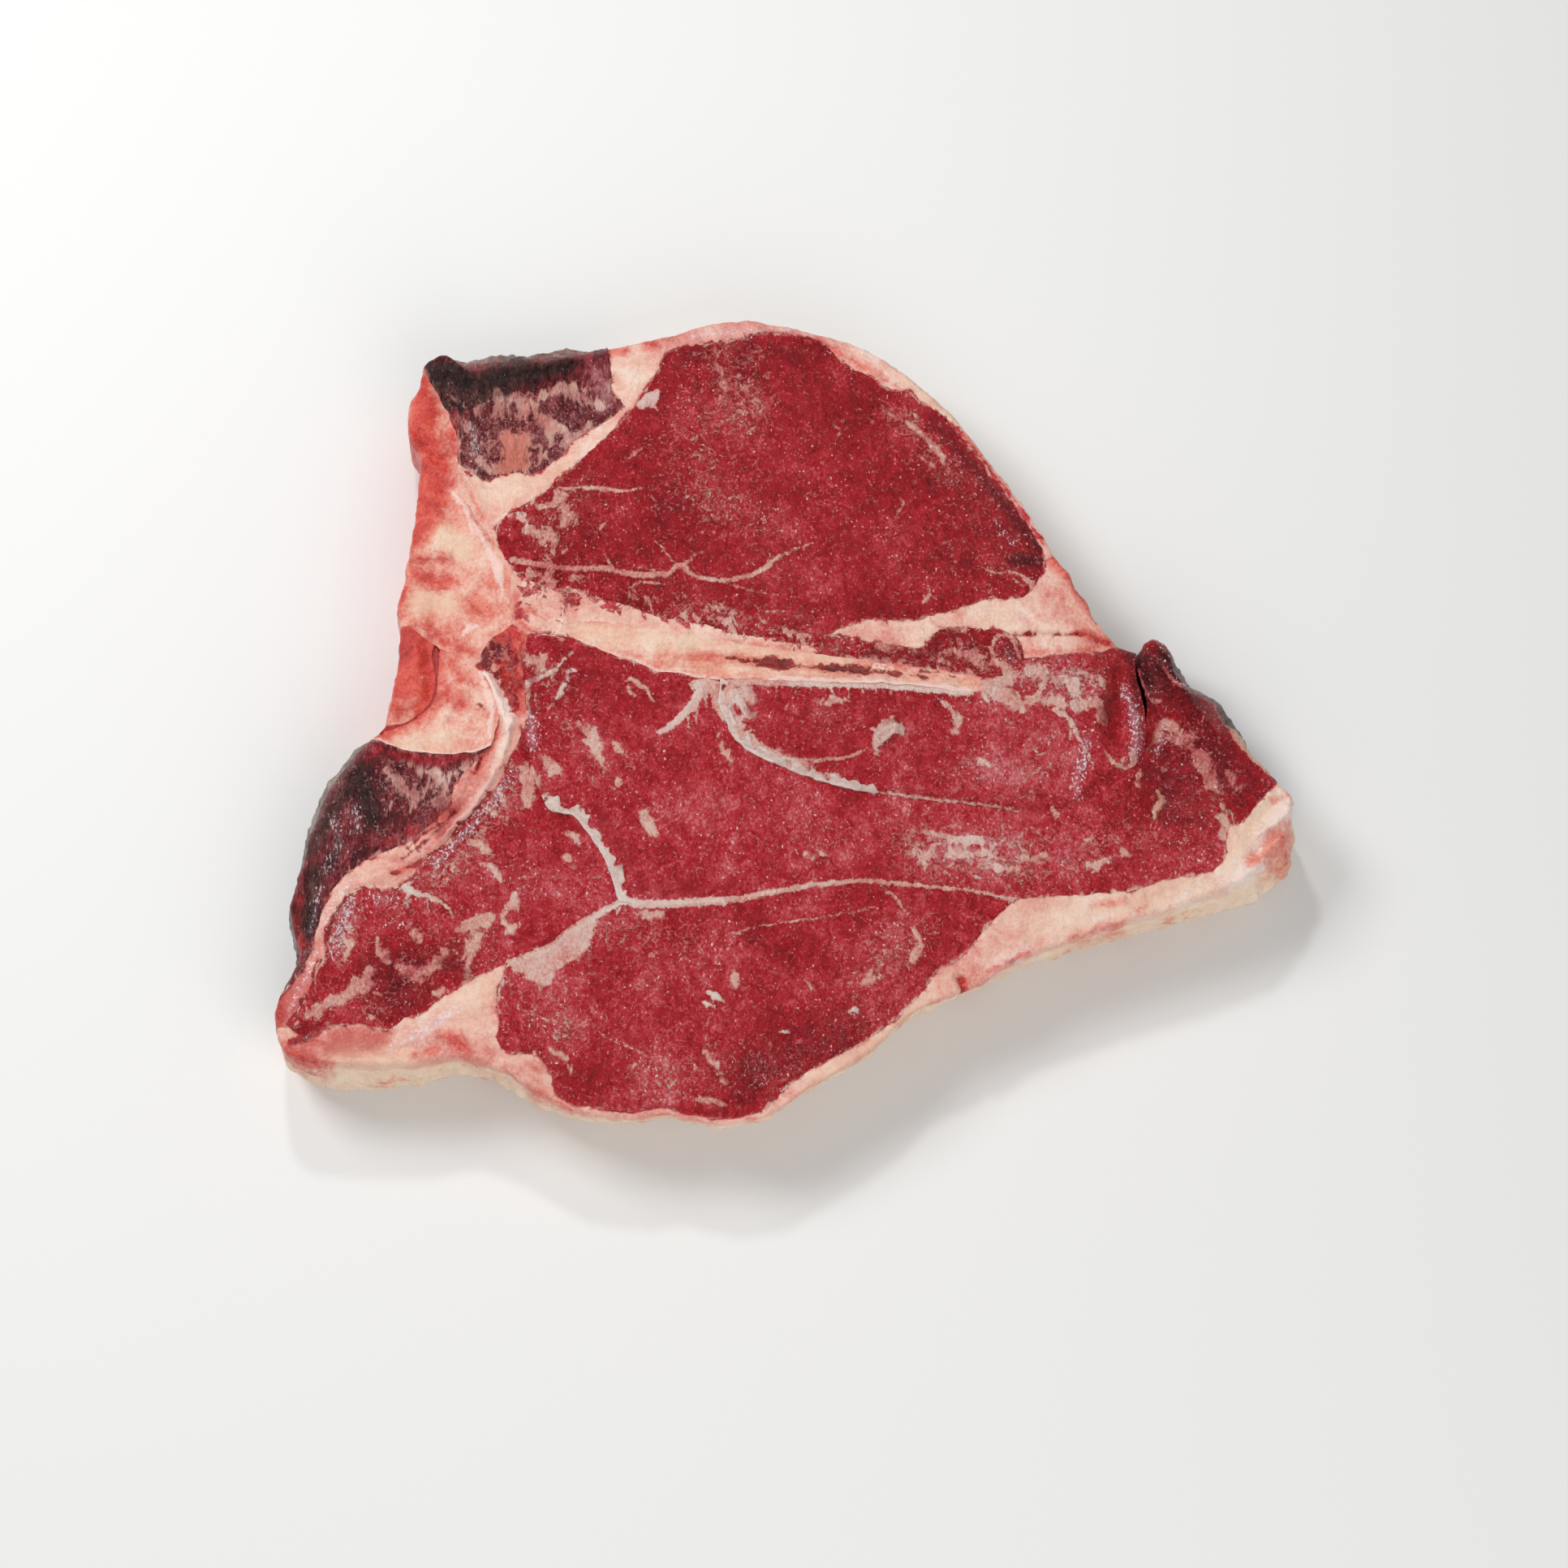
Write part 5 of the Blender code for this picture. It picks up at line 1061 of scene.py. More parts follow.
# the muscle over the backfat, left of the middle
bottom = {
    "node": "bottom_muscle", "slot": "lean", "start": "capNotch", "lift": (-0.7, 0, 0),
    "upper": ["leftBottom", "centreBottom"], "lower": ["bottomCap"],
    "ties": [((-66, -65.8), (-80.3, -94)), ((-48, -53.5), (-61, -111)), ((20, -47.6), (8, -100.5))],
    "fat": [
        ((1.0, 0.9, 0.7, 0.6, 0.6), "centreBottom"), ((1.8, 1.6, 1.4), "leftBottom"),
        ((0.5, 0.1), [(-47.5, -54.5), (-48.5, -59)]), ((0.4, 0.1), [(-46, -55), (-45.5, -58.5)]),
        ((0.6, 1.2, 0.6), [(-23, -79.5), (-21, -81), (-19, -82.5)]),
        ((0.4, 0.8, 0.4), [(-24.5, -82.5), (-23, -83.5), (-22, -83.5)]),
        ((0.3, 0.1), [(-21, -84), (-23, -89), (-23.5, -93.5)]),
        ((0.6, 0.9, 0.4), [(16.5, -85.5), (17.5, -84.5), (18.5, -86)]),
        ((0.3, 0.7, 0.2), [(-3.5, -91.5), (-2, -91), (-0.5, -91.5)]),
        ((0.3, 0.3, 0.3, 0.2), [(-17, -63), (-8, -60.5), (6, -58.5), (24, -55)]),
        ((0.3, 0.5, 0.3), [(24.5, -48.5), (28, -51), (31.5, -56)]),
        ((0.1, 0.3, 0.2, 0.1), [(-58, -88), (-50, -93), (-40, -98), (-32, -106)]),
        ((0.1, 0.3, 0.1), [(-76, -84), (-66, -88), (-56, -88)]),
    ],
    "patch": [
        ((2.0, 4.0, 4.6, 4.2, 2.6), [(-75.5, -72.8), (-71, -72), (-65, -69), (-60.5, -65.5),
         (-56.5, -60.5)]), ((1.5, 1.8, 0.8), [(-72, -74.5), (-68, -76.5), (-66, -74)]),
        ((0.9, 1.3, 0.7), [(-16, -75), (-15.5, -76), (-15.5, -78)]),
        ((0.6, 1.6, 0.9), [(22, -73.5), (21.5, -76), (19, -77.5)]),
        ((0.3, 0.6, 0.3), [(4.5, -77), (5.5, -80), (5.5, -81.5)]),
        ((0.6, 1.4, 0.8), [(-42.5, -56.5), (-40, -57.5), (-36.5, -57.5)]),
        ((0.3, 0.8, 0.6, 0.3), [(-26.5, -110.5), (-21, -111.5), (-14.5, -112.5)]),
        ((0.4, 0.8, 0.4), [(-66, -96), (-62, -99), (-60, -103)]),
        ((0.4, 0.9, 0.5), [(34, -62), (36, -66), (34, -70)]),
        ((0.3, 0.7, 0.3), [(-24, -97), (-20, -102), (-18, -106)]),
    ],
    "shade": [
        (-0.7, 6, [(-70, -98), (-58, -108)]), (0.35, 10, [(-64, -84)]), (-1.3, 9, [(-10, -104), (16, -92)]),
        (-0.3, 8, [(40, -62)]), (0.3, 9, [(-35, -100)]), (-0.5, 6, [(-12, -58), (2, -72)]),
        (-0.3, 7, [(20, -54)]),
    ],
    "marble": [(1.0, 8, [(-68, -82), (-62, -90)]), (0.9, 9, [(-50, -64), (-30, -64)]),
               (1.0, 8, [(20, -76), (32, -66)]), (1.0, 7, [(-40, -104), (-12, -100)]), (0.7, 7, [(30, -60)])],
    "marbleBase": -0.2, "tornBase": 0.55, "torn": [(-0.4, 8, [(-66, -70)])], "shadeBase": 0.5,
    "membraneAndSheen": [(0.6, [(-74, -86), (-64, -91)]), (0.5, [(-50, -92), (-38, -102)])],
    "blood": [(0.6, [(-57, -111), (-40, -112.5), (-20, -114)]), (0.8, [(28, -84), (38, -74), (50, -63)])],
    "yellow": [(-0.5, 2.5, [(-70, -68), (-53, -57), (-48, -54), (-36, -55)]),
               (-1.2, 2.0, [(-24, -82), (-19, -80)]), (-1.2, 1.6, [(17.5, -85)]), (-1.0, 1.4, [(-2, -91)])],
    "ridges": [(0.9, 1.4, [(-21, -81), (-19.5, -82.5)]), (0.8, 1.2, [(17.5, -85)]), (-0.6, 1.2, [(-24, -79)]),
               (-0.5, 2.5, [(-5, -60), (2, -74)])],
}

# the muscle right of the finger bone, with the deep cleft against the flap
side = {
    "node": "side_muscle", "slot": "lean", "start": "fingerSaddle",
    "lift": (1.2, -0.012, -0.02),
    "upper": ["fingerSide", "stripSide", "wedgeSide", "sideEdge"],
    "lower": ["sideCentre", "sideCleft"],
    "ledges": [([(-20, 12.5), (-20.5, 6), (-18.5, 0), (-15.5, -6), (-10, -10.3), (5, -17), (13, -19.7),
               (22, -21.6)], 1.9)],
    "fat": [
        ((1.0, 2.4, 3.0, 1.6), [(23.5, -8.5), (25.5, -5.5), (27.5, -3), (30.5, -3.5)]),
        ((1.2, 0.6), [(27, -3), (28.5, 0.5)]), ((0.9, 0.3), [(24, -8), (23.5, -12)]),
        ((1.0, 0.6), [(26, -5), (22.5, -3.5)]),
        ((1.2, 0.7, 0.6, 0.6, 0.4), [(-18, -1.5), (-13, -6.5), (-7, -10), (0, -12.3), (8, -12.5),
         (16, -11.5), (21.5, -9)]), ((1.5, 1.2, 1.2), [(-16.5, 8), (-14, 4.5), (-12.5, 2)]),
        ((0.9, 0.8, 0.6, 0.4), [(74.5, 3), (78.5, -0.5), (81, -6), (84.5, -13.5)]),
        ((0.3, 0.5, 0.3), [(76.5, 3), (78.5, -3), (78.5, -6)]),
        ((0.4, 0.8, 0.6, 0.3), [(88, -9.5), (90, -12.5), (93.5, -14), (96, -13.5)]),
        ((1.4, 1.3, 1.2, 1.6), [(-18, 11), (0, 11), (30, 9.8), (50, 8)]),
        ((0.5, 0.1), [(-4, 10), (-4.5, 6.5)]), ((0.5, 0.1), [(11, 10), (12, 6.5)]),
        ((0.5, 0.1), [(24, 9.5), (24, 6)]), ((0.5, 0.1), [(32, 9.5), (33, 6)]),
        ((0.5, 0.1), [(40, 9), (41, 5.5)]), ((0.6, 0.1), [(49, 8), (50, 4)]),
        ((0.3, 0.1), [(2.5, 10), (-1, 4), (-6, -1)]), ((0.6, 0.1), [(16, 10), (16.5, 6)]),
        ((0.5, 0.1), [(20, 10), (20.5, 7)]), ((0.5, 0.1), [(28, 10), (28, 7)]),
        ((0.6, 0.1), [(5, 10), (6, 8)]), ((0.5, 0.1), [(36, 9.5), (37, 7)]),
        ((0.5, 0.1), [(44, 8.5), (45.5, 6)]), ((0.6, 0.9, 0.5), [(73, -26), (74, -27.5), (74, -30)]),
        ((0.3, 0.5, 0.4, 0.3), [(22, -21.2), (36, -23.2), (52, -25), (64, -27)]),
    ],
    "patch": [
        ((2.2, 2.8, 3.0, 2.4, 1.6, 0.9), [(-18, 9), (-17.5, 2), (-13.5, -5.5), (-7.5, -10.5), (2, -14.5),
         (14, -18.5)]), ((1.4, 2.4, 1.4), [(-14.5, 7.5), (-12, 8), (-11, 6)]),
        ((1.4, 2.0, 1.4), [(-14.5, 0.5), (-12.5, 1.5), (-10.5, 1)]),
        ((1.4, 2.8, 3.0, 2.6), [(50, 10.5), (54.5, 9.5), (58.5, 8), (63.5, 5)]),
        ((1.5, 2.6, 1.4), [(56, 11.5), (61, 12), (63, 14.5)]),
        ((1.6, 1.4, 1.3, 1.5), [(63, 4.5), (67.5, 5.5), (73.5, 6), (79, 4.5), (86, 6)]),
        ((1.0, 2.0, 1.4), [(82, 4), (86, 5.5), (87.5, 1)]),
        ((1.2, 2.4, 1.2), [(68, 15.5), (70.5, 14.5), (71.5, 11)]),
        ((0.8, 1.8, 1.2), [(77, 12.5), (79.5, 11), (80.5, 8.5)]), ((0.6, 1.2, 0.8), [(87, 14), (88.5, 10)]),
        ((0.3, 0.7, 0.3), [(51.5, -11.5), (53.5, -12.5), (56, -13.5)]),
        ((0.8, 1.2, 0.8), [(93, -12), (95, -13), (96, -11)]),
        ((0.3, 0.7, 0.3), [(44, 4), (47, 0), (46, -4)]), ((0.3, 0.6, 0.3), [(8, 4), (12, 5.5), (16, 6)]),
    ],
    "tornBase": 0.8, "torn": [(-0.5, 4, [(27, -4)])],
    "blood": [
        (2.2, [(91.5, 17), (90.5, 5), (89, -7)]), (1.6, [(96, 19), (93, 14)]),
        ((0.8, 1.2, 0.8), [(-12, 4), (-7, -5), (4, -11)]), (0.8, [(70, 19), (82, 20), (94, 21)]),
        (1.0, [(-10, 9), (-9, 5)]),
    ],
    "membraneAndSheen": [
        ((1.8, 2.8, 2.4), [(93, 10.5), (96, 3), (97, -7), (96, -10)]),
        ((1.0, 2.6, 2.6, 1.0), [(84, -2), (82.5, -10), (80, -18), (80, -24)]), (0.7, [(40, 7), (44, 4)]),
    ],
    # the two dark spots along the cleft, at x 90 to 92 and at x 97.5 to 98.5, are painted shadow
    "shade": [
        (0.6, 8, [(58, -14)]), (0.4, 7, [(76, -8)]), (-0.3, 7, [(8, -4)]), (-0.8, 5, [(92, 18), (90, 4)]),
        (-1.6, 2.4, [(97.5, 20), (98.5, 4)]), (-0.3, 6, [(40, 3)]), (-0.4, 5, [(84, 17)]),
    ],
    "shadeBase": 0.5,
    "marble": [(1.8, 7, [(68, 14), (82, 12)]), (0.9, 8, [(48, -16), (66, -18)]), (0.6, 6, [(4, 2), (14, 0)]),
               (0.8, 7, [(70, -4)])],
    "marbleBase": -0.15,
    "yellow": [
        (-0.3, 3.5, [(26.5, -4.5)]), (-0.6, 2.0, [(-16, 6), (-13, 2)]), (-0.7, 1.4, [(0, 11), (50, 8)]),
    ],
    "ridges": [
        (3.0, 2.2, [(24.5, -7), (29, -3)]), (-2.0, 0.9, [(27, -1.5), (30, -1)]),
        (-1.6, 0.7, [(25, -7), (28, -4)]), (0.9, 2.0, [(55, 10), (62, 8)]), (0.9, 1.6, [(-14, 3)]),
        (0.5, 1.0, [(78.5, -0.5), (82, -8)]), (1.4, 2.2, [(95, 9), (97, -7)]),
        (-1.6, 2.4, [(90.5, 14), (90, -3)]), (-0.8, 2.0, [(84, 12), (83, 4)]),
        (0.8, 1.6, [(86, 3), (84, -10)]), (-0.8, 1.4, [(-10, -3), (6, -9.5)]),
    ],
}

# the thin muscle between finger bone, wedge of fat and eye
strip = {
    "node": "strip_muscle", "slot": "lean", "start": "boneFatTip", "lift": (-0.5, 0, 0),
    "upper": ["eyeStrip", "stripWedge"], "lower": ["bonefatStrip", "fingerStrip", "stripSide"],
    "fat": [
        ((0.5, 0.8, 0.7, 0.5), [(58, 25), (61, 26.2), (63.5, 23.5), (64.5, 19)]),
        ((0.6, 0.8, 0.6), [(57.5, 25), (57, 21), (59, 16.5)]),
        ((0.3, 0.5, 0.3), [(47, 25.5), (48.5, 23), (46.5, 22)]),
    ],
    "patch": [
        ((0.6, 1.2, 0.8), [(24, 24), (27.5, 22.5), (31, 23.5)]),
        ((0.8, 1.4, 1.5, 1.0), [(16, 19), (24, 18), (31, 16.6), (36, 16)]),
        ((0.5, 1.0, 0.7), [(34, 20), (37.5, 21), (40, 19)]),
        ((0.8, 1.6, 1.2), [(44, 21.5), (50, 20.5), (54, 20)]),
        ((0.6, 1.2, 0.8), [(51, 19), (54, 17), (57, 14.5)]),
        ((0.6, 1.2, 0.8), [(38, 15.5), (45, 14.5), (51, 13.5)]),
        ((0.5, 0.9, 0.5), [(41, 18.5), (46, 17.5)]), ((0.8, 1.2, 0.8), [(60, 18), (61, 15), (63, 14.5)]),
    ],
    "tornBase": 0.9, "marble": [(0.8, 6, [(12, 22), (60, 18)])],
    "shade": [(-0.4, 4, [(48, 25)]), (-0.9, 3, [(62, 21)]), (-0.3, 6, [(30, 20), (50, 17)])],
    "blood": [(1.4, [(42, 25.5), (46, 26)]), (0.5, [(16, 21), (40, 20)])],
    "membraneAndSheen": [(1.2, [(60, 24), (62, 18)])],
    "ridges": [(1.0, 2.0, [(61.5, 23), (62, 18)]), (-0.8, 1.4, [(57, 24), (57.5, 17)]),
               (-0.8, 1.6, [(14, 22), (40, 18)])],
}

# the muscle in the upper corner, sunken and dried black along its rim
pocket = {
    "node": "pocket_muscle", "slot": "crust", "start": "boneTop",
    "lift": (-1.0, 0, 0.03), "upper": ["pocketEdge"], "lower": ["chinePocket", "pocketUpper"], "step": 0.5,
    "rings": 30, "crag": [(2.2, 10.0, 2.2, 3), (0.7, 3.0, 2.5, 2)], "rough": [(0.6, 6.0), (0.3, 1.8)],
    "patch": [
        ((1.5, 3.0, 3.4, 2.4), [(-73.5, 95), (-69, 90.5), (-63.5, 87), (-57.5, 90)]),
        ((0.8, 1.4, 0.8), [(-83.5, 99.5), (-84.5, 96), (-84.5, 92)]),
        ((1.2, 2.0, 1.8), [(-85.5, 101), (-83.5, 97.5), (-84.5, 94)]),
        ((1.4, 2.2, 1.8), [(-80, 100.5), (-77.5, 98), (-76.5, 96)]),
        ((0.8, 1.5, 1.0), [(-82.5, 96.5), (-79.5, 94.5)]),
        ((1.0, 1.8, 2.4, 2.8, 2.2), [(-75.5, 100), (-73.5, 96), (-70.5, 92.5), (-66.5, 90), (-62, 88.5)]),
        ((1.2, 1.8, 1.4), [(-72.5, 99.5), (-70, 101.5), (-66.5, 103.5)]),
        ((1.5, 2.6, 2.4, 1.6), [(-65.5, 103), (-61.5, 100.5), (-58, 99), (-55.5, 97.5)]),
        ((3.2, 4.6, 4.4, 3.2), [(-80.5, 88), (-79, 85), (-79.5, 81.5), (-82.5, 78.5)]),
        ((1.2, 2.0, 1.4), [(-75.5, 85), (-73, 82.5), (-75, 79)]),
        ((1.2, 2.0, 1.6), [(-68, 85.5), (-64.5, 86.5), (-61, 88.5)]),
        ((0.6, 1.1, 0.9), [(-97, 98), (-96, 92), (-96, 86), (-95.5, 80)]),
        ((0.4, 0.9, 0.5), [(-94, 96), (-93.5, 90), (-93, 84)]),
        ((0.5, 1.0, 0.6), [(-90, 90), (-88.5, 86), (-87, 83)]),
        ((0.6, 1.3, 0.8), [(-91, 82.5), (-88.5, 79.5), (-87, 77)]),
        ((0.5, 1.0, 0.6), [(-91, 98), (-89.5, 94)]), ((0.6, 1.2, 0.8), [(-95, 79), (-91, 77)]),
    ],
    "lean": [
        ((0.8, 1.3, 1.4, 0.9), [(-72, 97), (-68.5, 94.5), (-64.5, 92.5), (-60.5, 91)]),
        ((1.2, 2.0, 1.2), [(-60.5, 94.5), (-57, 94), (-53.5, 94.5)]),
        ((1.0, 1.6, 1.0), [(-69, 99), (-66, 97.5), (-62.5, 96.5)]),
        ((1.0, 1.8, 1.6), [(-84, 92.5), (-81, 91.8), (-77, 92.5)]),
        ((0.6, 1.2, 0.6), [(-81, 99.5), (-79, 96)]),
        ((0.8, 1.2, 1.2), [(-74.5, 91), (-72.5, 88), (-71, 85), (-68.5, 81)]),
        ((0.5, 1.0, 0.6), [(-75.5, 84.5), (-73, 85)]), (0.8, [(-74, 79.5)]),
        ((0.5, 0.9, 0.5), [(-68.5, 88.5), (-66, 88)]),
    ],
    "tornBase": 0.85,
    "marble": [(1.0, 8, [(-88, 88), (-68, 90)]), (-2.0, 5, [(-98, 105), (-62, 109)])],
    "shade": [(-0.5, 5, [(-98, 104), (-66, 109)]), (0.2, 6, [(-76, 90)]),
              (1.1, 3.5, [(-56.5, 107.5), (-53.5, 102)])],
    "dried": [((3.0, 3.6, 3.8, 3.4, 1.0), [(-101, 101), (-94, 103.5), (-85, 105.5), (-76.5, 107.5),
              (-67.5, 109.5), (-62, 111)]), (2.0, [(-99, 97), (-90, 100), (-82, 102)])],
    "blood": [(0.5, [(-100.5, 106), (-94, 108), (-87, 109.5), (-81, 110.5)]),
              (0.5, [(-74, 111.5), (-67, 112.5), (-58, 113.8)]), (0.6, [(-97.5, 90), (-97, 96)])],
    "yellow": [(1.1, 6, [(-80, 87), (-79.5, 80)]), (0.4, 3, [(-75, 97), (-70, 92)])],
    "membraneAndSheen": [(1.6, [(-92, 92), (-90.5, 82)]), (0.4, [(-64, 103), (-58, 99)])],
    "ridges": [
        (-1.4, 3.5, [(-98, 102), (-64, 107)]), (0.8, 2.4, [(-80, 86), (-80, 82)]),
        (-0.8, 1.2, [(-60, 94.5), (-56, 93.8)]), (-0.7, 1.4, [(-72, 96.5), (-62, 91.5)]),
        (1.4, 2.6, [(-57, 108), (-55, 103)]), (-0.7, 1.0, [(-97.5, 93), (-97.5, 84)]),
    ],
}

# the muscle at the left edge, dried dark
dark = {
    "node": "dark_muscle", "slot": "crust", "start": "darkTop",
    "lift": (-0.6, 0.02, 0), "upper": ["darkEdge"], "lower": ["socketDark", "darkGristle"], "step": 0.5,
    "rings": 26, "crag": [(1.8, 11.0, 1.4, 3), (0.3, 3.0, 2.0, 2)], "rough": [(0.6, 6.0), (0.25, 1.8)],
    "patch": [
        ((1.0, 1.8, 2.0, 1.2), [(-111, -16.5), (-108.5, -20), (-105, -22.5), (-106.5, -25.5)]),
        ((0.8, 1.6, 1.4, 0.8), [(-104, -15), (-100, -16.5), (-101, -20), (-103.5, -23)]),
        ((0.9, 1.6, 1.0), [(-102.5, -25), (-98.5, -24), (-97, -27)]),
        ((0.6, 1.0, 0.5), [(-109.5, -12), (-105.5, -13.5)]),
        ((0.6, 1.0, 1.0, 0.6), [(-86.5, -10.5), (-92, -14), (-95, -17), (-97, -22)]),
        ((0.5, 0.9, 0.5), [(-112, -24), (-113, -28)]), ((0.7, 1.3, 0.7), [(-114, -12), (-112, -15)]),
    ],
    "tornBase": 0.9,
    "marble": [
        (1.2, 6, [(-112, -18), (-98, -22)]), (-1.0, 6, [(-130, -40), (-135, -60)]), (0.6, 5, [(-115, -33)]),
    ],
    "marbleBase": -0.4,
    # membrane strokes: partly a painted highlight and sheen on the wet dark surface
    "membraneAndSheen": [(2.0, [(-127.5, -29), (-126, -36), (-129.5, -44)]), (1.6, [(-131, -50), (-133, -62)]),
               (2.0, [(-121.5, -25), (-121, -33)])],
    "blood": [
        (1.6, [(-113, -36), (-108.5, -34.5), (-104.5, -32)]),
        (0.6, [(-136.5, -52), (-137, -57), (-135.5, -66)]), (0.8, [(-119, -12), (-115, -8)]),
        (1.2, [(-112, -10.5), (-98, -12), (-90, -11)]), (1.0, [(-96, -27), (-101, -31)]),
    ],
    "dried": [(2.0, [(-120, -14), (-128, -27), (-133, -38)]), (2.0, [(-120.5, -17), (-117, -29)]),
              (2.4, [(-132, -45), (-134, -62)]), (1.4, [(-126, -36), (-128, -44)])],
    "shade": [(-0.6, 5, [(-120, -18), (-116, -29)]), (0.3, 6, [(-126, -36)]), (-0.2, 5, [(-134, -55)]),
              (0.3, 5, [(-104, -14)])],
    "ridges": [(1.2, 1.6, [(-118, -21), (-116.5, -28)]), (-1.2, 2.0, [(-121.5, -17), (-120, -27)]),
               (1.0, 2.4, [(-127, -30), (-130, -42)]), (-0.8, 2.0, [(-123, -34), (-127, -46)])],
}

# the fat round the eye muscle, from the spine to the right
upper = {
    "node": "upper_fat", "slot": "fat", "start": "eyeHeel", "lift": (0.2, 0, 0),
    "upper": ["chineUpper", "pocketUpper", "rimEdge"], "lower": ["eyeUpper", "upperWedge"],
    "ties": [((-96, 79.5), (-76, 66.3)), ((-48.5, 97.5), (-46, 96)), ((-53, 115.5), (-38, 110.5)),
             ((-34, 120.3), (-30, 116))],
    "lean": [(0.35, [(48, 90), (57, 77.5), (66, 64.5), (72, 54)])],
    "blood": [
        (1.8, [(-55, 113.5), (-48, 115.8)]), (1.6, [(-42, 117.5), (-40, 117)]),
        (1.1, [(8, 118.5), (17, 112), (27, 105.5)]), (0.8, [(2, 119.5), (-8, 121.5)]),
        (0.3, [(30, 103.5), (36, 100.5)]), (0.4, [(-44, 98), (-50, 93.5)]),
        (0.3, [(-95, 76), (-92, 69), (-88, 62)]), (0.3, [(50, 88), (62, 71), (72, 54)]),
    ],
    "membraneAndSheen": [(0.6, [(-96.5, 71), (-93.5, 66.5), (-90, 61.5)]), (1.6, [(-28, 120), (0, 121.5), (8, 119)])],
    "shade": [(-0.6, 6, [(-30, 119.5), (0, 121)]), (1.0, 7, [(-45, 108)]), (0.3, 6, [(-84, 70), (-66, 79)]),
              (-0.4, 4, [(-40, 118)]), (0.5, 5, [(60, 76), (70, 60)])],
    "yellow": [(-0.2, 3, [(-28, 119.5), (0, 121), (10, 117)]), (0.5, 6, [(-88, 70), (-66, 79)]),
               (0.4, 5, [(-46, 106)]), (0.4, 5, [(34, 103), (44, 96)])],
    "marble": [(0.9, 4, [(-80, 66), (-70, 69)]), (0.8, 4, [(-92, 78), (-76, 77)])],
    "marbleBase": -0.6,
}

# the fat between eye muscle and finger bone
boneFat = {
    "node": "bone_fat", "slot": "fat", "start": "eyeFoot", "lift": (0.1, 0, 0),
    "upper": ["eyeBonefat"],
    "lower": ["chineBonefat", "bonefatGristle", "bonefatCentre", "fingerBonefat", "bonefatStrip"],
    "ties": [((-75, 43), (-74.5, 26)), ((-59, 39.5), (-62.5, 29.5))],
    "lean": [
        ((0.6, 1.2, 0.6), [(-77, 41), (-74, 39), (-72, 40.5)]), ((0.8, 1.4, 0.8), [(-64, 38), (-61, 36.5)]),
        ((0.4, 0.9, 0.4), [(-77.5, 34), (-75.5, 31.5)]), ((0.5, 1.0, 0.5), [(-53, 34.5), (-50, 34)]),
    ],
    "tornBase": 1.0,
    "marble": [(1.3, 6, [(-74, 38), (-64, 36)]), (1.0, 3, "eyeBonefat"), (-1.5, 3, [(-60, 31), (-10, 23)])],
    "blood": [(1.2, [(-78.5, 38), (-77.5, 30), (-72, 27.5)]), (0.8, [(-76, 34), (-70, 31)]),
              (0.3, [(-20, 24.5), (4, 21.2)])],
    "shade": [(0.2, 8, [(-50, 32), (-20, 26)])],
}

# the fat between eye, strip and side
wedge = {
    "node": "wedge_fat", "slot": "fat", "start": "wedgeTip", "lift": (0.2, 0, 0),
    "upper": ["eyeWedge", "upperWedge"], "lower": ["stripWedge", "wedgeSide", "wedgeEdge"],
    "ties": [
        ((36, 31), (38, 22.3)), ((62, 36.7), (65, 23.5)), ((67, 38), (72, 19)), ((72.8, 49), (87, 28.5)),
    ],
    "lean": [(0.12, [(62, 26.7), (70, 26.4), (83, 26.2)]), ((0.2, 0.4), [(84, 26), (90, 23.5)])],
    "blood": [(2.8, [(74, 50.5), (80, 44)]), (1.4, [(82, 27), (93, 22.6)]), (0.6, [(66, 20.5), (85, 21.5)]),
              ((2.2, 1.6, 1.2), [(80.5, 43), (84.5, 36), (88, 28)])],
    "shade": [(-0.35, 4, [(82, 38)]), (0.4, 7, [(70, 31)]), (0.3, 5, [(35, 28)]),
              (-0.3, 4, [(15, 26.5), (25, 26)])],
    "yellow": [(0.5, 6, [(58, 32)])], "marble": [(0.8, 3, [(14, 26.5), (40, 24)])], "marbleBase": -0.8,
    "ridges": [(-0.9, 0.6, [(64, 26.6), (83, 26.2)]), (-0.8, 1.6, [(86, 24.5), (92, 23)])],
}

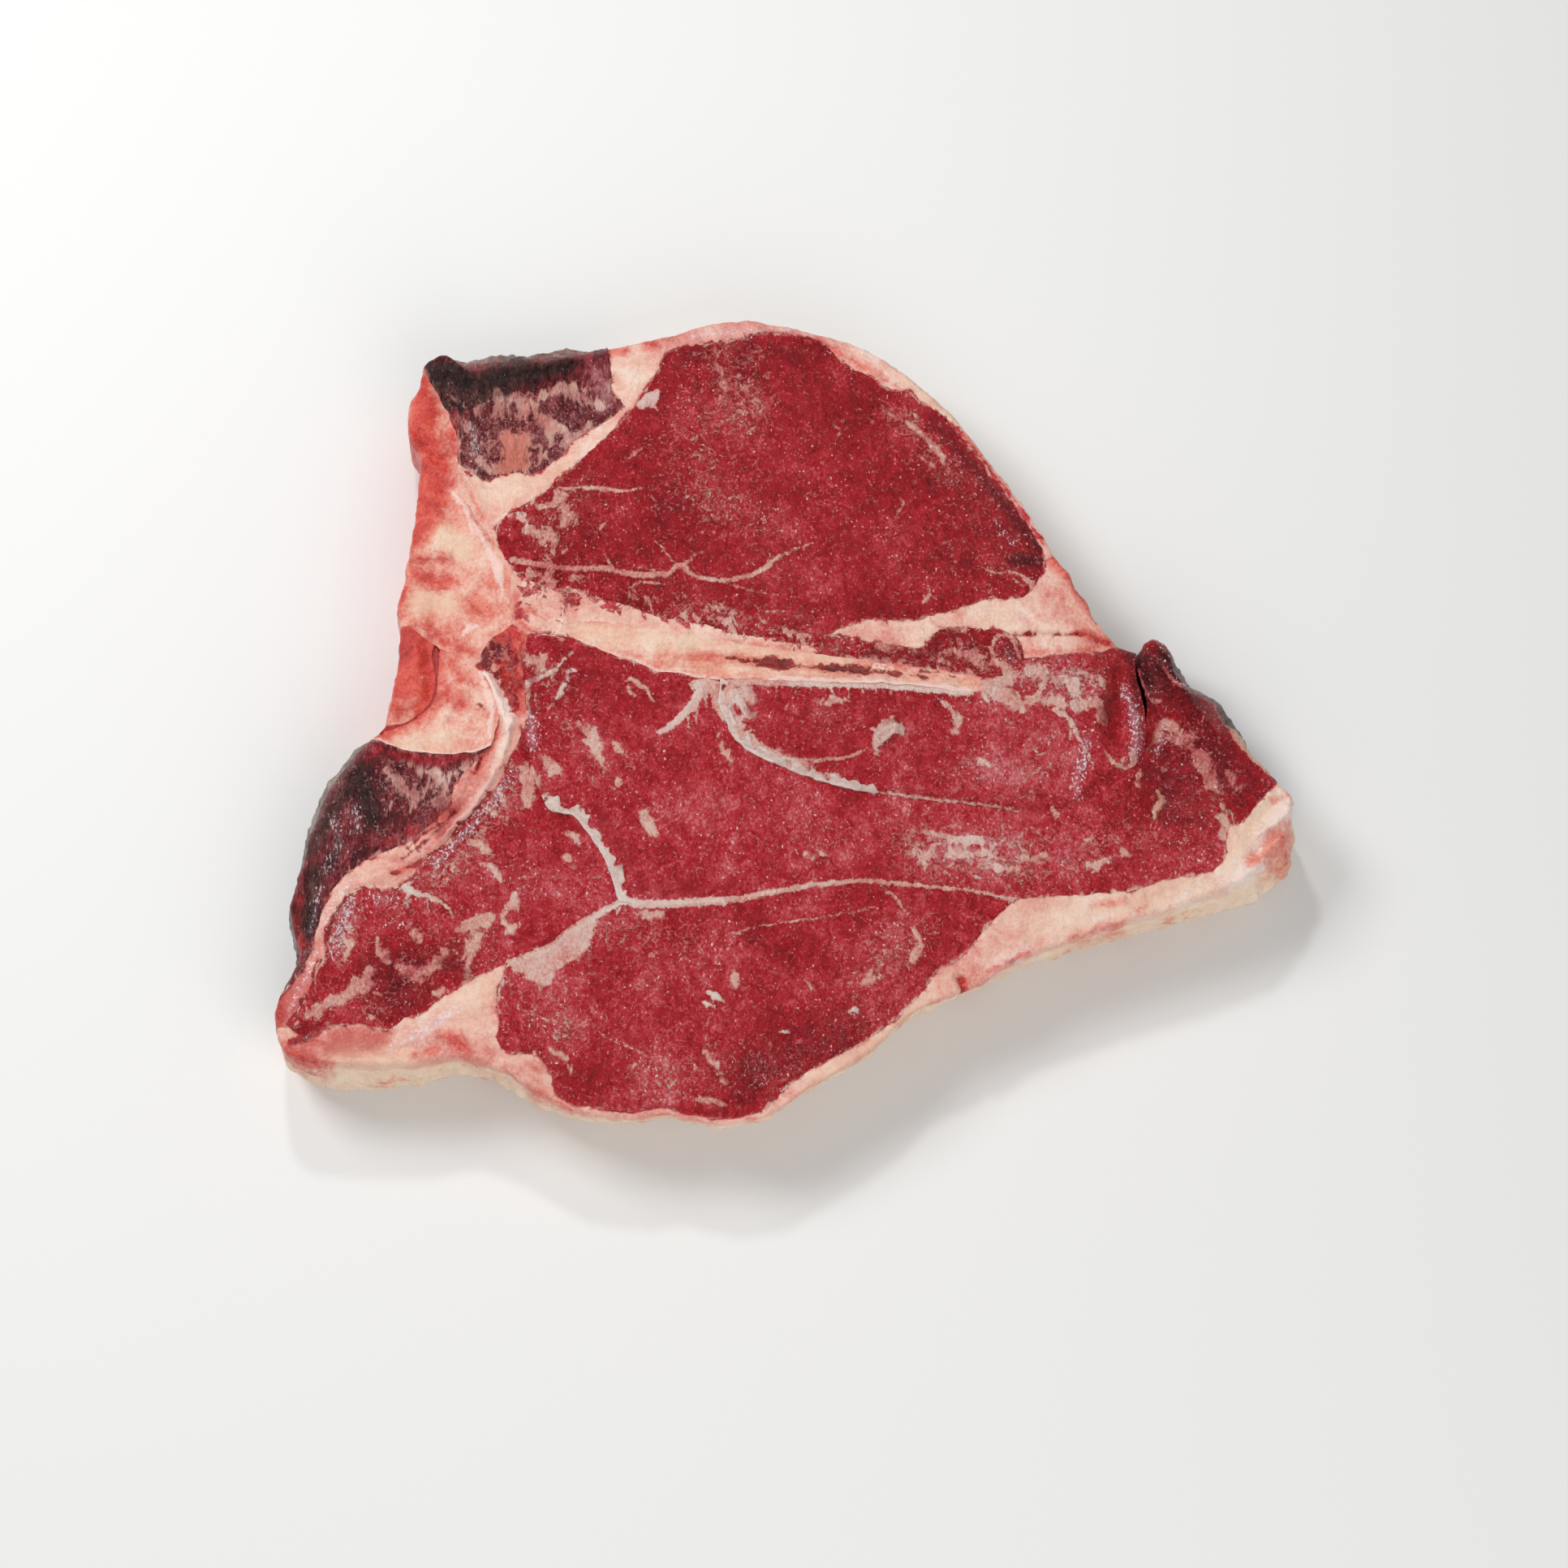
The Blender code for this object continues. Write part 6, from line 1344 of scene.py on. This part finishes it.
# the band of gristle and fat round the lower left muscles
gristle = {
    "node": "gristle_band", "slot": "fat", "start": "spineNotch", "lift": (0.2, 0, 0),
    "upper": ["bonefatGristle", "gristleCentre", "gristleLeft", "gristleCap"],
    "lower": ["chineGristle", "socketGristle", "darkGristle", "tailEdge"],
    "step": 0.45,
    "lean": [
        ((1.0, 1.6, 1.3), [(-87, 21), (-86, 18.5), (-87.5, 16)]),
        ((0.7, 1.0, 0.7), [(-84.8, 23), (-84.5, 22)]), ((0.7, 1.1, 1.0), [(-82.8, 22.8), (-82.3, 20.5)]),
        ((0.8, 1.4, 0.9), [(-80, 23), (-79, 20), (-78, 18)]),
        ((0.8, 1.2, 1.1), [(-84.5, 17.5), (-81.5, 18), (-79.5, 17)]),
        ((0.7, 1.3, 1.5, 0.9), [(-82.8, 14.5), (-80.8, 13), (-80.5, 10.5)]),
        ((1.0, 1.6, 1.8, 1.3), [(-78.5, 15.5), (-77.8, 11), (-78.8, 8), (-77.8, 4)]),
        ((0.6, 1.0, 0.8), [(-84.2, 26.2), (-82.3, 26)]),
        ((0.8, 1.4, 1.3, 0.9), [(-80.5, 28), (-79, 27), (-77.3, 25), (-76.3, 23.5)]),
        (0.25, [(-110.5, -45.5), (-105.5, -43.5), (-102.5, -41.5)]),
        ((0.1, 0.5, 0.1), [(-83.5, 1), (-85.5, -8), (-89, -16)]),
        ((0.1, 0.4, 0.1), [(-94, -27), (-101, -35), (-108, -41)]),
        ((0.2, 0.6, 0.2), [(-98, -31), (-103, -34), (-107, -38)]),
    ],
    "tornBase": 0.35, "torn": [(0.8, 6, [(-81, 18)]), (0.4, 4, "gristleLeft")],
    "marble": [(1.4, 6, [(-81, 21), (-77, 10)])], "marbleBase": -0.9,
    "dried": [
        (1.2, [(-87.5, 21), (-86, 16)]), (1.0, [(-82, 21), (-79.5, 16), (-80, 11)]), (0.6, [(-84.5, 24)]),
    ],
    "blood": [
        ((2.5, 3.6, 3.2, 2.4), [(-82.5, 26), (-77.5, 26.5), (-75.8, 21), (-76, 14)]),
        ((2.0, 2.2, 1.6), [(-75.8, 14), (-75.5, 9), (-75.5, 3)]), (1.8, [(-81, 17), (-79.5, 11)]),
        (0.6, [(-110.5, -45), (-105.5, -43), (-102, -41)]), (0.9, [(-104, -31), (-97, -28)]),
        (1.6, [(-140.5, -78), (-141, -92)]), (0.9, [(-84.5, 4), (-83, -5)]),
        (0.9, [(-77, -10), (-81, -20)]), (0.7, [(-84, -8), (-88, -16)]), (0.7, [(-95, -31), (-104, -41)]),
    ],
    "membraneAndSheen": [((1.8, 1.8, 1.4), [(-121, -47), (-127, -54), (-130.5, -65)]),
               (1.6, [(-131, -67.5), (-134, -75.5), (-138, -85)]), (0.8, [(-79, 3), (-80, -8)])],
    "shadeBase": -0.4,
    "shade": [
        (1.0, 2.5, [(-87, 14), (-82.5, 6), (-79.5, -1), (-81, -10)]), (-0.5, 3, [(-98, -33), (-92, -26)]),
        (-0.6, 4, [(-131, -68), (-137, -82)]), (-0.8, 4, [(-140, -84)]), (-0.8, 5, [(-82, 21), (-79, 12)]),
    ],
    "yellow": [
        (-0.8, 1.8, [(-87, 14), (-82.5, 6), (-79.5, -1)]), (-0.7, 1.2, [(-77.5, 21), (-76.3, 14)]),
        (-0.8, 1.0, [(-74.6, 11), (-74, 1)]), (-0.5, 1.2, [(-80, -4), (-84, -18), (-92, -29), (-104, -40)]),
    ],
    "ridges": [
        (1.0, 1.2, [(-86, 13), (-81.8, 5), (-80, -3)]),
        (0.9, 1.0, [(-78.5, 0), (-81, -12), (-88, -25), (-100, -38)]),
        (-0.9, 0.9, [(-82.5, 0), (-84.5, -9), (-90, -17)]),
        (0.8, 1.0, [(-86, -10), (-92, -20), (-95, -27)]), (-0.7, 0.9, [(-90, -23), (-98, -33)]),
        (0.8, 1.6, [(-112, -45), (-124, -50), (-130, -64)]), (-1.8, 3.0, [(-82, 21), (-78, 10)]),
        (1.0, 0.9, [(-77.5, 22), (-76.3, 14)]), (-0.9, 1.2, [(-76, 10), (-76, 2)]),
    ],
}

# the backfat, along the whole lower edge
cap = {
    "node": "cap_fat", "slot": "fat", "start": "tailInner", "lift": (-0.3, 0, 0),
    "upper": ["leftCap", "bottomCap", "centreCap"], "lower": ["gristleCap", "capEdge"],
    "ties": [((-78, -71), (-91, -98.5)), ((-77.5, -97.3), (-80, -101.5)), ((-61, -111.3), (-62, -112.5)),
             ((40.5, -73.5), (46, -80)), ((62, -53.2), (66, -69)), ((120.5, -41), (130, -44))],
    "rings": 30, "crag": [(1.4, 9.0, 1.5, 2), (0.4, 3.6, 1.0, 2)], "tornBase": 0.3,
    "membraneAndSheen": [((1.5, 2.8, 2.8, 1.6), [(-109, -95), (-102.5, -92.5), (-97, -88.5), (-91, -83)])],
    "lean": [((1.2, 0.8), [(47, -76), (47.5, -79)]),
             ((0.8, 1.2, 0.5), [(-137.5, -94.5), (-133, -92.8), (-129, -91.2)])],
    "blood": [
        ((1.6, 2.8, 1.6), [(-95.5, -92.5), (-92, -94), (-89, -96.5)]), (0.8, [(-104, -98), (-97.5, -96)]),
        (2.0, [(-139, -96), (-133, -100), (-127, -102)]), (0.9, [(-92, -101), (-84, -102)]),
        (0.8, [(-72, -107), (-60, -113)]), ((1.8, 4.0, 4.0), [(128, -42), (134.5, -37), (141, -32.5)]),
        (1.0, [(134, -24.5), (140, -21)]), (0.6, [(96, -56), (98, -55.5)]), (0.8, [(78, -64), (92, -59.5)]),
        (1.0, [(47.5, -77), (49, -79)]), (0.8, [(54, -74), (66, -68)]), (0.4, [(84, -55), (92, -53.5)]),
        (0.3, [(-40, -114.5), (-10, -116)]),
    ],
    "yellow": [
        (0.8, 5, [(-122, -101), (-105.5, -100.5)]), (0.6, 5, [(-92, -84), (-85, -78)]),
        (0.8, 3, [(121, -43), (128, -32), (134, -23)]), (0.5, 8, [(70, -60), (110, -50)]),
        (0.6, 6, [(10, -104), (34, -86)]), (-1.0, 3, [(141, -38), (136, -44)]),
        (-0.8, 2.5, [(56, -73), (66, -68)]),
    ],
    "shade": [
        (-1.2, 5, [(-132, -94.5), (-114, -93.5)]), (0.5, 4, [(-85, -89)]),
        (0.3, 5, [(-98, -86.5), (-84, -78)]), (0.4, 8, [(75, -58), (110, -52)]), (-0.4, 4, [(-85, -94)]),
        (1.4, 7, [(138, -26), (132, -34), (126, -47)]), (-0.3, 4, [(-72, -101)]),
    ],
    "marble": [(0.7, 5, [(-94, -94), (-80, -99)])], "marbleBase": -0.7,
    "ridges": [
        (1.3, 1.4, [(131, -34), (136, -30), (140, -26.5)]),
        (-1.4, 1.4, [(129, -38), (134, -34), (139, -30.5)]), (-0.6, 1.5, [(-126, -97), (-100, -96)]),
        (0.9, 1.4, [(128, -28), (134, -22)]), (-0.8, 1.2, [(131, -29), (138, -23)]),
        (1.0, 1.8, [(138, -38), (142, -36)]), (-1.6, 1.3, [(46.5, -75.5), (48, -79)]),
        (0.7, 2.0, [(-76, -99.5), (-68, -104)]), (-0.5, 1.5, [(100, -52.5), (122, -46)]),
    ],
}

# the spine's body and its stub, sawn through
chine = {
    "node": "chine_bone", "slot": "bone", "start": "boneTop", "lift": (0.3, 0, 0),
    "upper": ["chineEdge"],
    "lower": [
        "chinePocket", "chineUpper", "chineEye", "chineBonefat", "chineGristle", "chineSocket", "chineGap",
        "chineKnob",
    ],
    "ties": [((-107, 73), (-95.5, 72)), ((-110.5, 43), (-80, 38)), ((-112, 35), (-87, 21))],
    "blood": [
        ((5.0, 6.0, 5.0), [(-106, 99), (-106.5, 90), (-104, 84)]),
        ((6.0, 7.0, 5.5, 3.5), [(-103, 79), (-104, 70), (-105, 62), (-107, 56)]),
        (2.0, [(-98, 90), (-97, 84)]), (2.2, [(-105.5, 83), (-102, 80), (-99.5, 78)]),
        ((2.0, 3.0, 2.2), [(-108, 46), (-103, 43.5), (-97, 42)]), (1.4, [(-107, 49), (-99, 49.5)]),
        (2.4, [(-110.5, 52), (-111.5, 33)]), (1.8, [(-101, 26), (-94, 22), (-89, 20)]),
        (1.4, [(-108, 30), (-103, 28)]),
    ],
    "yellow": [(1.2, 4, [(-100, 57), (-94, 52)]), (0.9, 4, [(-107, 36), (-98, 36)])],
    "shade": [(0.8, 4, [(-101, 55), (-94, 51)]), (0.3, 6, [(-100, 36)]), (-0.4, 6, [(-92, 32)]),
              (-0.3, 4, [(-100, 72)]), (-0.4, 4, [(-106, 83)])],
    "fat": [
        ((-0.6, 0.2, 0.8, 1.4), [(-96, 76), (-94, 66), (-89.5, 58), (-84, 48)]),
        ((0.8, 1.0, 0.2), [(-97, 70), (-93, 64), (-91, 57)]), ((1.5, 0.8), [(-84, 48), (-82, 38)]),
        ((0.5, 1.5, 0.8), [(-93, 26), (-91, 28), (-89, 28.5)]),
    ],
    "ridges": [
        (-1.6, 3.0, [(-107, 45), (-98, 42)]), (1.0, 1.2, [(-109, 49.5), (-98, 50.5)]),
        (1.4, 4.0, [(-107, 93)]), (-1.2, 1.4, [(-108, 84), (-101, 80)]), (1.0, 2.5, [(-104, 98)]),
        (0.8, 2.0, [(-94, 64), (-88, 55)]), (-0.6, 2.0, [(-99, 68), (-96, 60)]), (0.8, 3.0, [(-105, 36)]),
        (-0.6, 1.5, [(-94, 40), (-88, 34)]),
    ],
    "round": 2.4, "fatLift": 0.6,
}

# the rounded half of the joint below the spine
knob = {
    "node": "joint_knob", "slot": "bone", "start": "knobTop", "lift": (0.2, 0, 0),
    "upper": ["chineKnob", "knobFace"], "lower": ["knobEdge"], "round": 2.4,
    "blood": [
        (7.0, [(-108, 26), (-109, 11)]), (4.4, [(-104, 26), (-101.5, 14), (-104, 4)]), (3.0, [(-111, 4)]),
    ],
    "shade": [(-0.6, 5, [(-108, 22)]), (0.4, 4, [(-106, 6)])],
}

# the hollow half of the joint
socket = {
    "node": "joint_socket", "slot": "bone", "start": "jointRight", "lift": (0, 0, 0),
    "upper": ["chineSocket", "socketGristle", "socketDark"], "lower": ["socketFace", "socketEdge"],
    "round": 2.4,
    "blood": [(2.6, "socketFace"), (1.6, [(-97, 18), (-93, 12)]), (1.2, [(-110, -4), (-104, 0)]),
              (1.0, "socketEdge"), (2.0, [(-92, 5), (-98, 8)])],
    "fat": [((0.8, 1.2, 0.8), [(-88, 14), (-84.5, 5), (-85, -5)]), (0.7, "socketDark")],
    "shade": [(0.6, 6, [(-98, -4), (-107, -7)]), (0.2, 5, [(-93, 11)])],
    "yellow": [(0.6, 4, [(-96, -6), (-108, -7)])],
    "marrow": [((0.2, 0.4, 0.3), [(-88, 5), (-86, 3), (-85.5, 1)])],
    "ridges": [(0.8, 3.0, [(-92, 10)]), (-0.6, 2.5, [(-95, 0)])],
}

# the finger bone, the bar of the T, with marrow in a row of hollows
finger = {
    "node": "finger_bone", "slot": "bone", "start": "fingerRoot", "lift": (0.6, 0, 0),
    "upper": ["fingerBonefat", "fingerStrip"], "lower": ["fingerCentre", "fingerSide"], "step": 0.4,
    "marrow": [
        ((0.5, 1.6, 1.6, 1.5, 0.5), [(-10, 18.2), (-7.5, 17.5), (-5, 17), (-2, 16.8), (1, 17)]),
        ((0.4, 1.0, 0.4), [(-3, 18), (0.5, 18)]),
        ((0.4, 1.1, 1.1, 0.4), [(7.5, 16.3), (10.5, 16), (14, 15.7)]),
        ((0.5, 1.2, 1.6, 1.3, 0.5), [(15.5, 15.8), (18.5, 15.3), (21, 14.8), (23, 14.2)]),
        ((0.3, 0.8, 0.3), [(26, 14.2), (29, 13.8), (32, 13.6)]),
        ((0.1, 0.4, 0.4, 0.4, 0.2), [(-14, 18.4), (-4, 17), (9, 16), (20, 15), (38, 12.9)]),
        ((0.2, 0.6, 0.2), [(35, 13.4), (38, 12.9)]), ((0.1, 0.4, 0.1), [(-18, 19), (-14, 18.6)]),
        ((-0.4, 0.1, -0.4), [(22, 17.2), (34, 15.3), (50, 12.5)]),
    ],
    "blood": [
        ((-0.5, 0.3, 0.3, 0.3, -0.3), [(-24, 20), (-15, 19), (-9, 17.8), (2, 17), (10, 15.8), (24, 14.4)]),
    ],
    "yellow": [(0.6, 4, [(-64, 28), (-30, 23)]), (0.6, 2, [(-30, 24), (16, 18)]),
               (0.5, 2, [(-26, 16), (50, 10.5)])],
    "marbleBase": 1.0,
    "shade": [(0.7, 4, [(-58, 27), (-30, 23.5)]), (0.5, 2, [(-30, 23.5), (14, 18)]),
              (-0.3, 2.5, [(-30, 19), (30, 14)])],
    "fat": [((0.8, 0.5), "fingerCentre"),
            ((0.8, 1.0, 1.2, 1.2, 1.0), [(-6, 12.1), (6, 11.9), (20, 11.2), (34, 10.4), (50, 8.6)])],
    "ridges": [(-0.6, 1.4, [(-26, 19.5), (28, 14)]), (0.5, 1.0, [(-10, 12.8), (46, 9.6)])],
    "fatLift": 0.4,
}

# the sunken filling of the gap between knob and socket, blood-red, darkened by painted shade for the gap's
# depth
joint = {
    "slot": "bone", "start": "jointLeft", "lift": (-2.4, 0, 0), "step": 0.4,
    "upper": ["knobFace"], "lower": ["chineGap", "socketFace", "jointFoot"], "blood": [(6.0, "knobFace")],
    "shadeBase": -1.6,
}

pieces = {"eye": eye, "centre": centre, "left": left, "bottom": bottom, "side": side, "strip": strip,
          "pocket": pocket, "dark": dark, "upper": upper, "boneFat": boneFat, "wedge": wedge,
          "gristle": gristle, "cap": cap, "chine": chine, "knob": knob, "socket": socket,
          "finger": finger, "joint": joint}
cliffs = {"leftCentre": 2.6, "sideCentre": 2.4}  # widths of the climb where one muscle stands higher
sharing = {}  # the pieces that meet at each seam
for piece in pieces.values():
    piece["middle"] = chain(piece["upper"] + piece["lower"][::-1], piece["start"]).mean(axis=0)
    for seam in piece["upper"] + piece["lower"]:
        sharing.setdefault(seam, []).append(piece)
for name, piece in pieces.items():
    loftPiece(name, piece)


# floor, light and camera: sizes and places in metres, aim and distance in mm
studio = {
    "floor": "#eeeeed", "floorSize": 3.0,
    "air": 0.34,                                     # even light from everywhere
    "lamps": {                                       # watts, size, place
        "softbox": (7.2, 0.5, (-0.7, 0.4, 0.95)),
        "spark": (2.8, 0.1, (-0.2, 0.75, 0.95)),
        "fill": (5.0, 0.9, (0.3, -0.9, 0.75)),
    },
    "aim": (-2.0, -19.0, 28.0), "distance": 1220.0, "elevation": 70.0, "lens": 100.0,
}


def buildStudio():
    # a pale floor, even air, and three square lamps that face the steak's middle
    size = studio["floorSize"]
    floorMesh = bpy.data.meshes.new("floor")
    corners = [(-size, -size, 0), (size, -size, 0), (size, size, 0), (-size, size, 0)]
    floorMesh.from_pydata(corners, [], [(0, 1, 2, 3)])
    floor = bpy.data.objects.new("floor", floorMesh)
    bpy.context.scene.collection.objects.link(floor)
    material = bpy.data.materials.new("paperFloor")
    material.use_nodes = True
    shader = material.node_tree.nodes["Principled BSDF"]
    shader.inputs["Base Color"].default_value = linear(studio["floor"])
    shader.inputs["Roughness"].default_value = 0.7
    floorMesh.materials.append(material)
    world = bpy.data.worlds.new("studioAir")
    world.use_nodes = True
    world.node_tree.nodes["Background"].inputs[0].default_value = (1, 1, 1, 1)
    world.node_tree.nodes["Background"].inputs[1].default_value = studio["air"]
    bpy.context.scene.world = world
    for name, (watts, side, place) in studio["lamps"].items():
        light = bpy.data.lights.new(name, "AREA")
        light.energy = watts
        light.size = side
        lamp = bpy.data.objects.new(name, light)
        lamp.location = place
        lamp.rotation_euler = Vector(place).to_track_quat("Z", "Y").to_euler()
        bpy.context.scene.collection.objects.link(lamp)
    bpy.context.scene.view_settings.view_transform = "Standard"


def buildCamera():
    # the camera looks along +Y, tilted down by its elevation, from its distance back along the view
    tilt = math.radians(studio["elevation"])
    aim = np.array(studio["aim"]) - (*slab["centre"], 0)
    view = np.array([0, math.cos(tilt), -math.sin(tilt)])
    camera = bpy.data.cameras.new("camera")
    camera.lens = studio["lens"]
    camera.sensor_width = 36.0
    rig = bpy.data.objects.new("camera", camera)
    rig.location = Vector((aim - view * studio["distance"]) * mm)
    rig.rotation_euler = (math.pi / 2 - tilt, 0, 0)
    bpy.context.scene.collection.objects.link(rig)
    bpy.context.scene.camera = rig


buildStudio()
buildCamera()
print("studio ready")
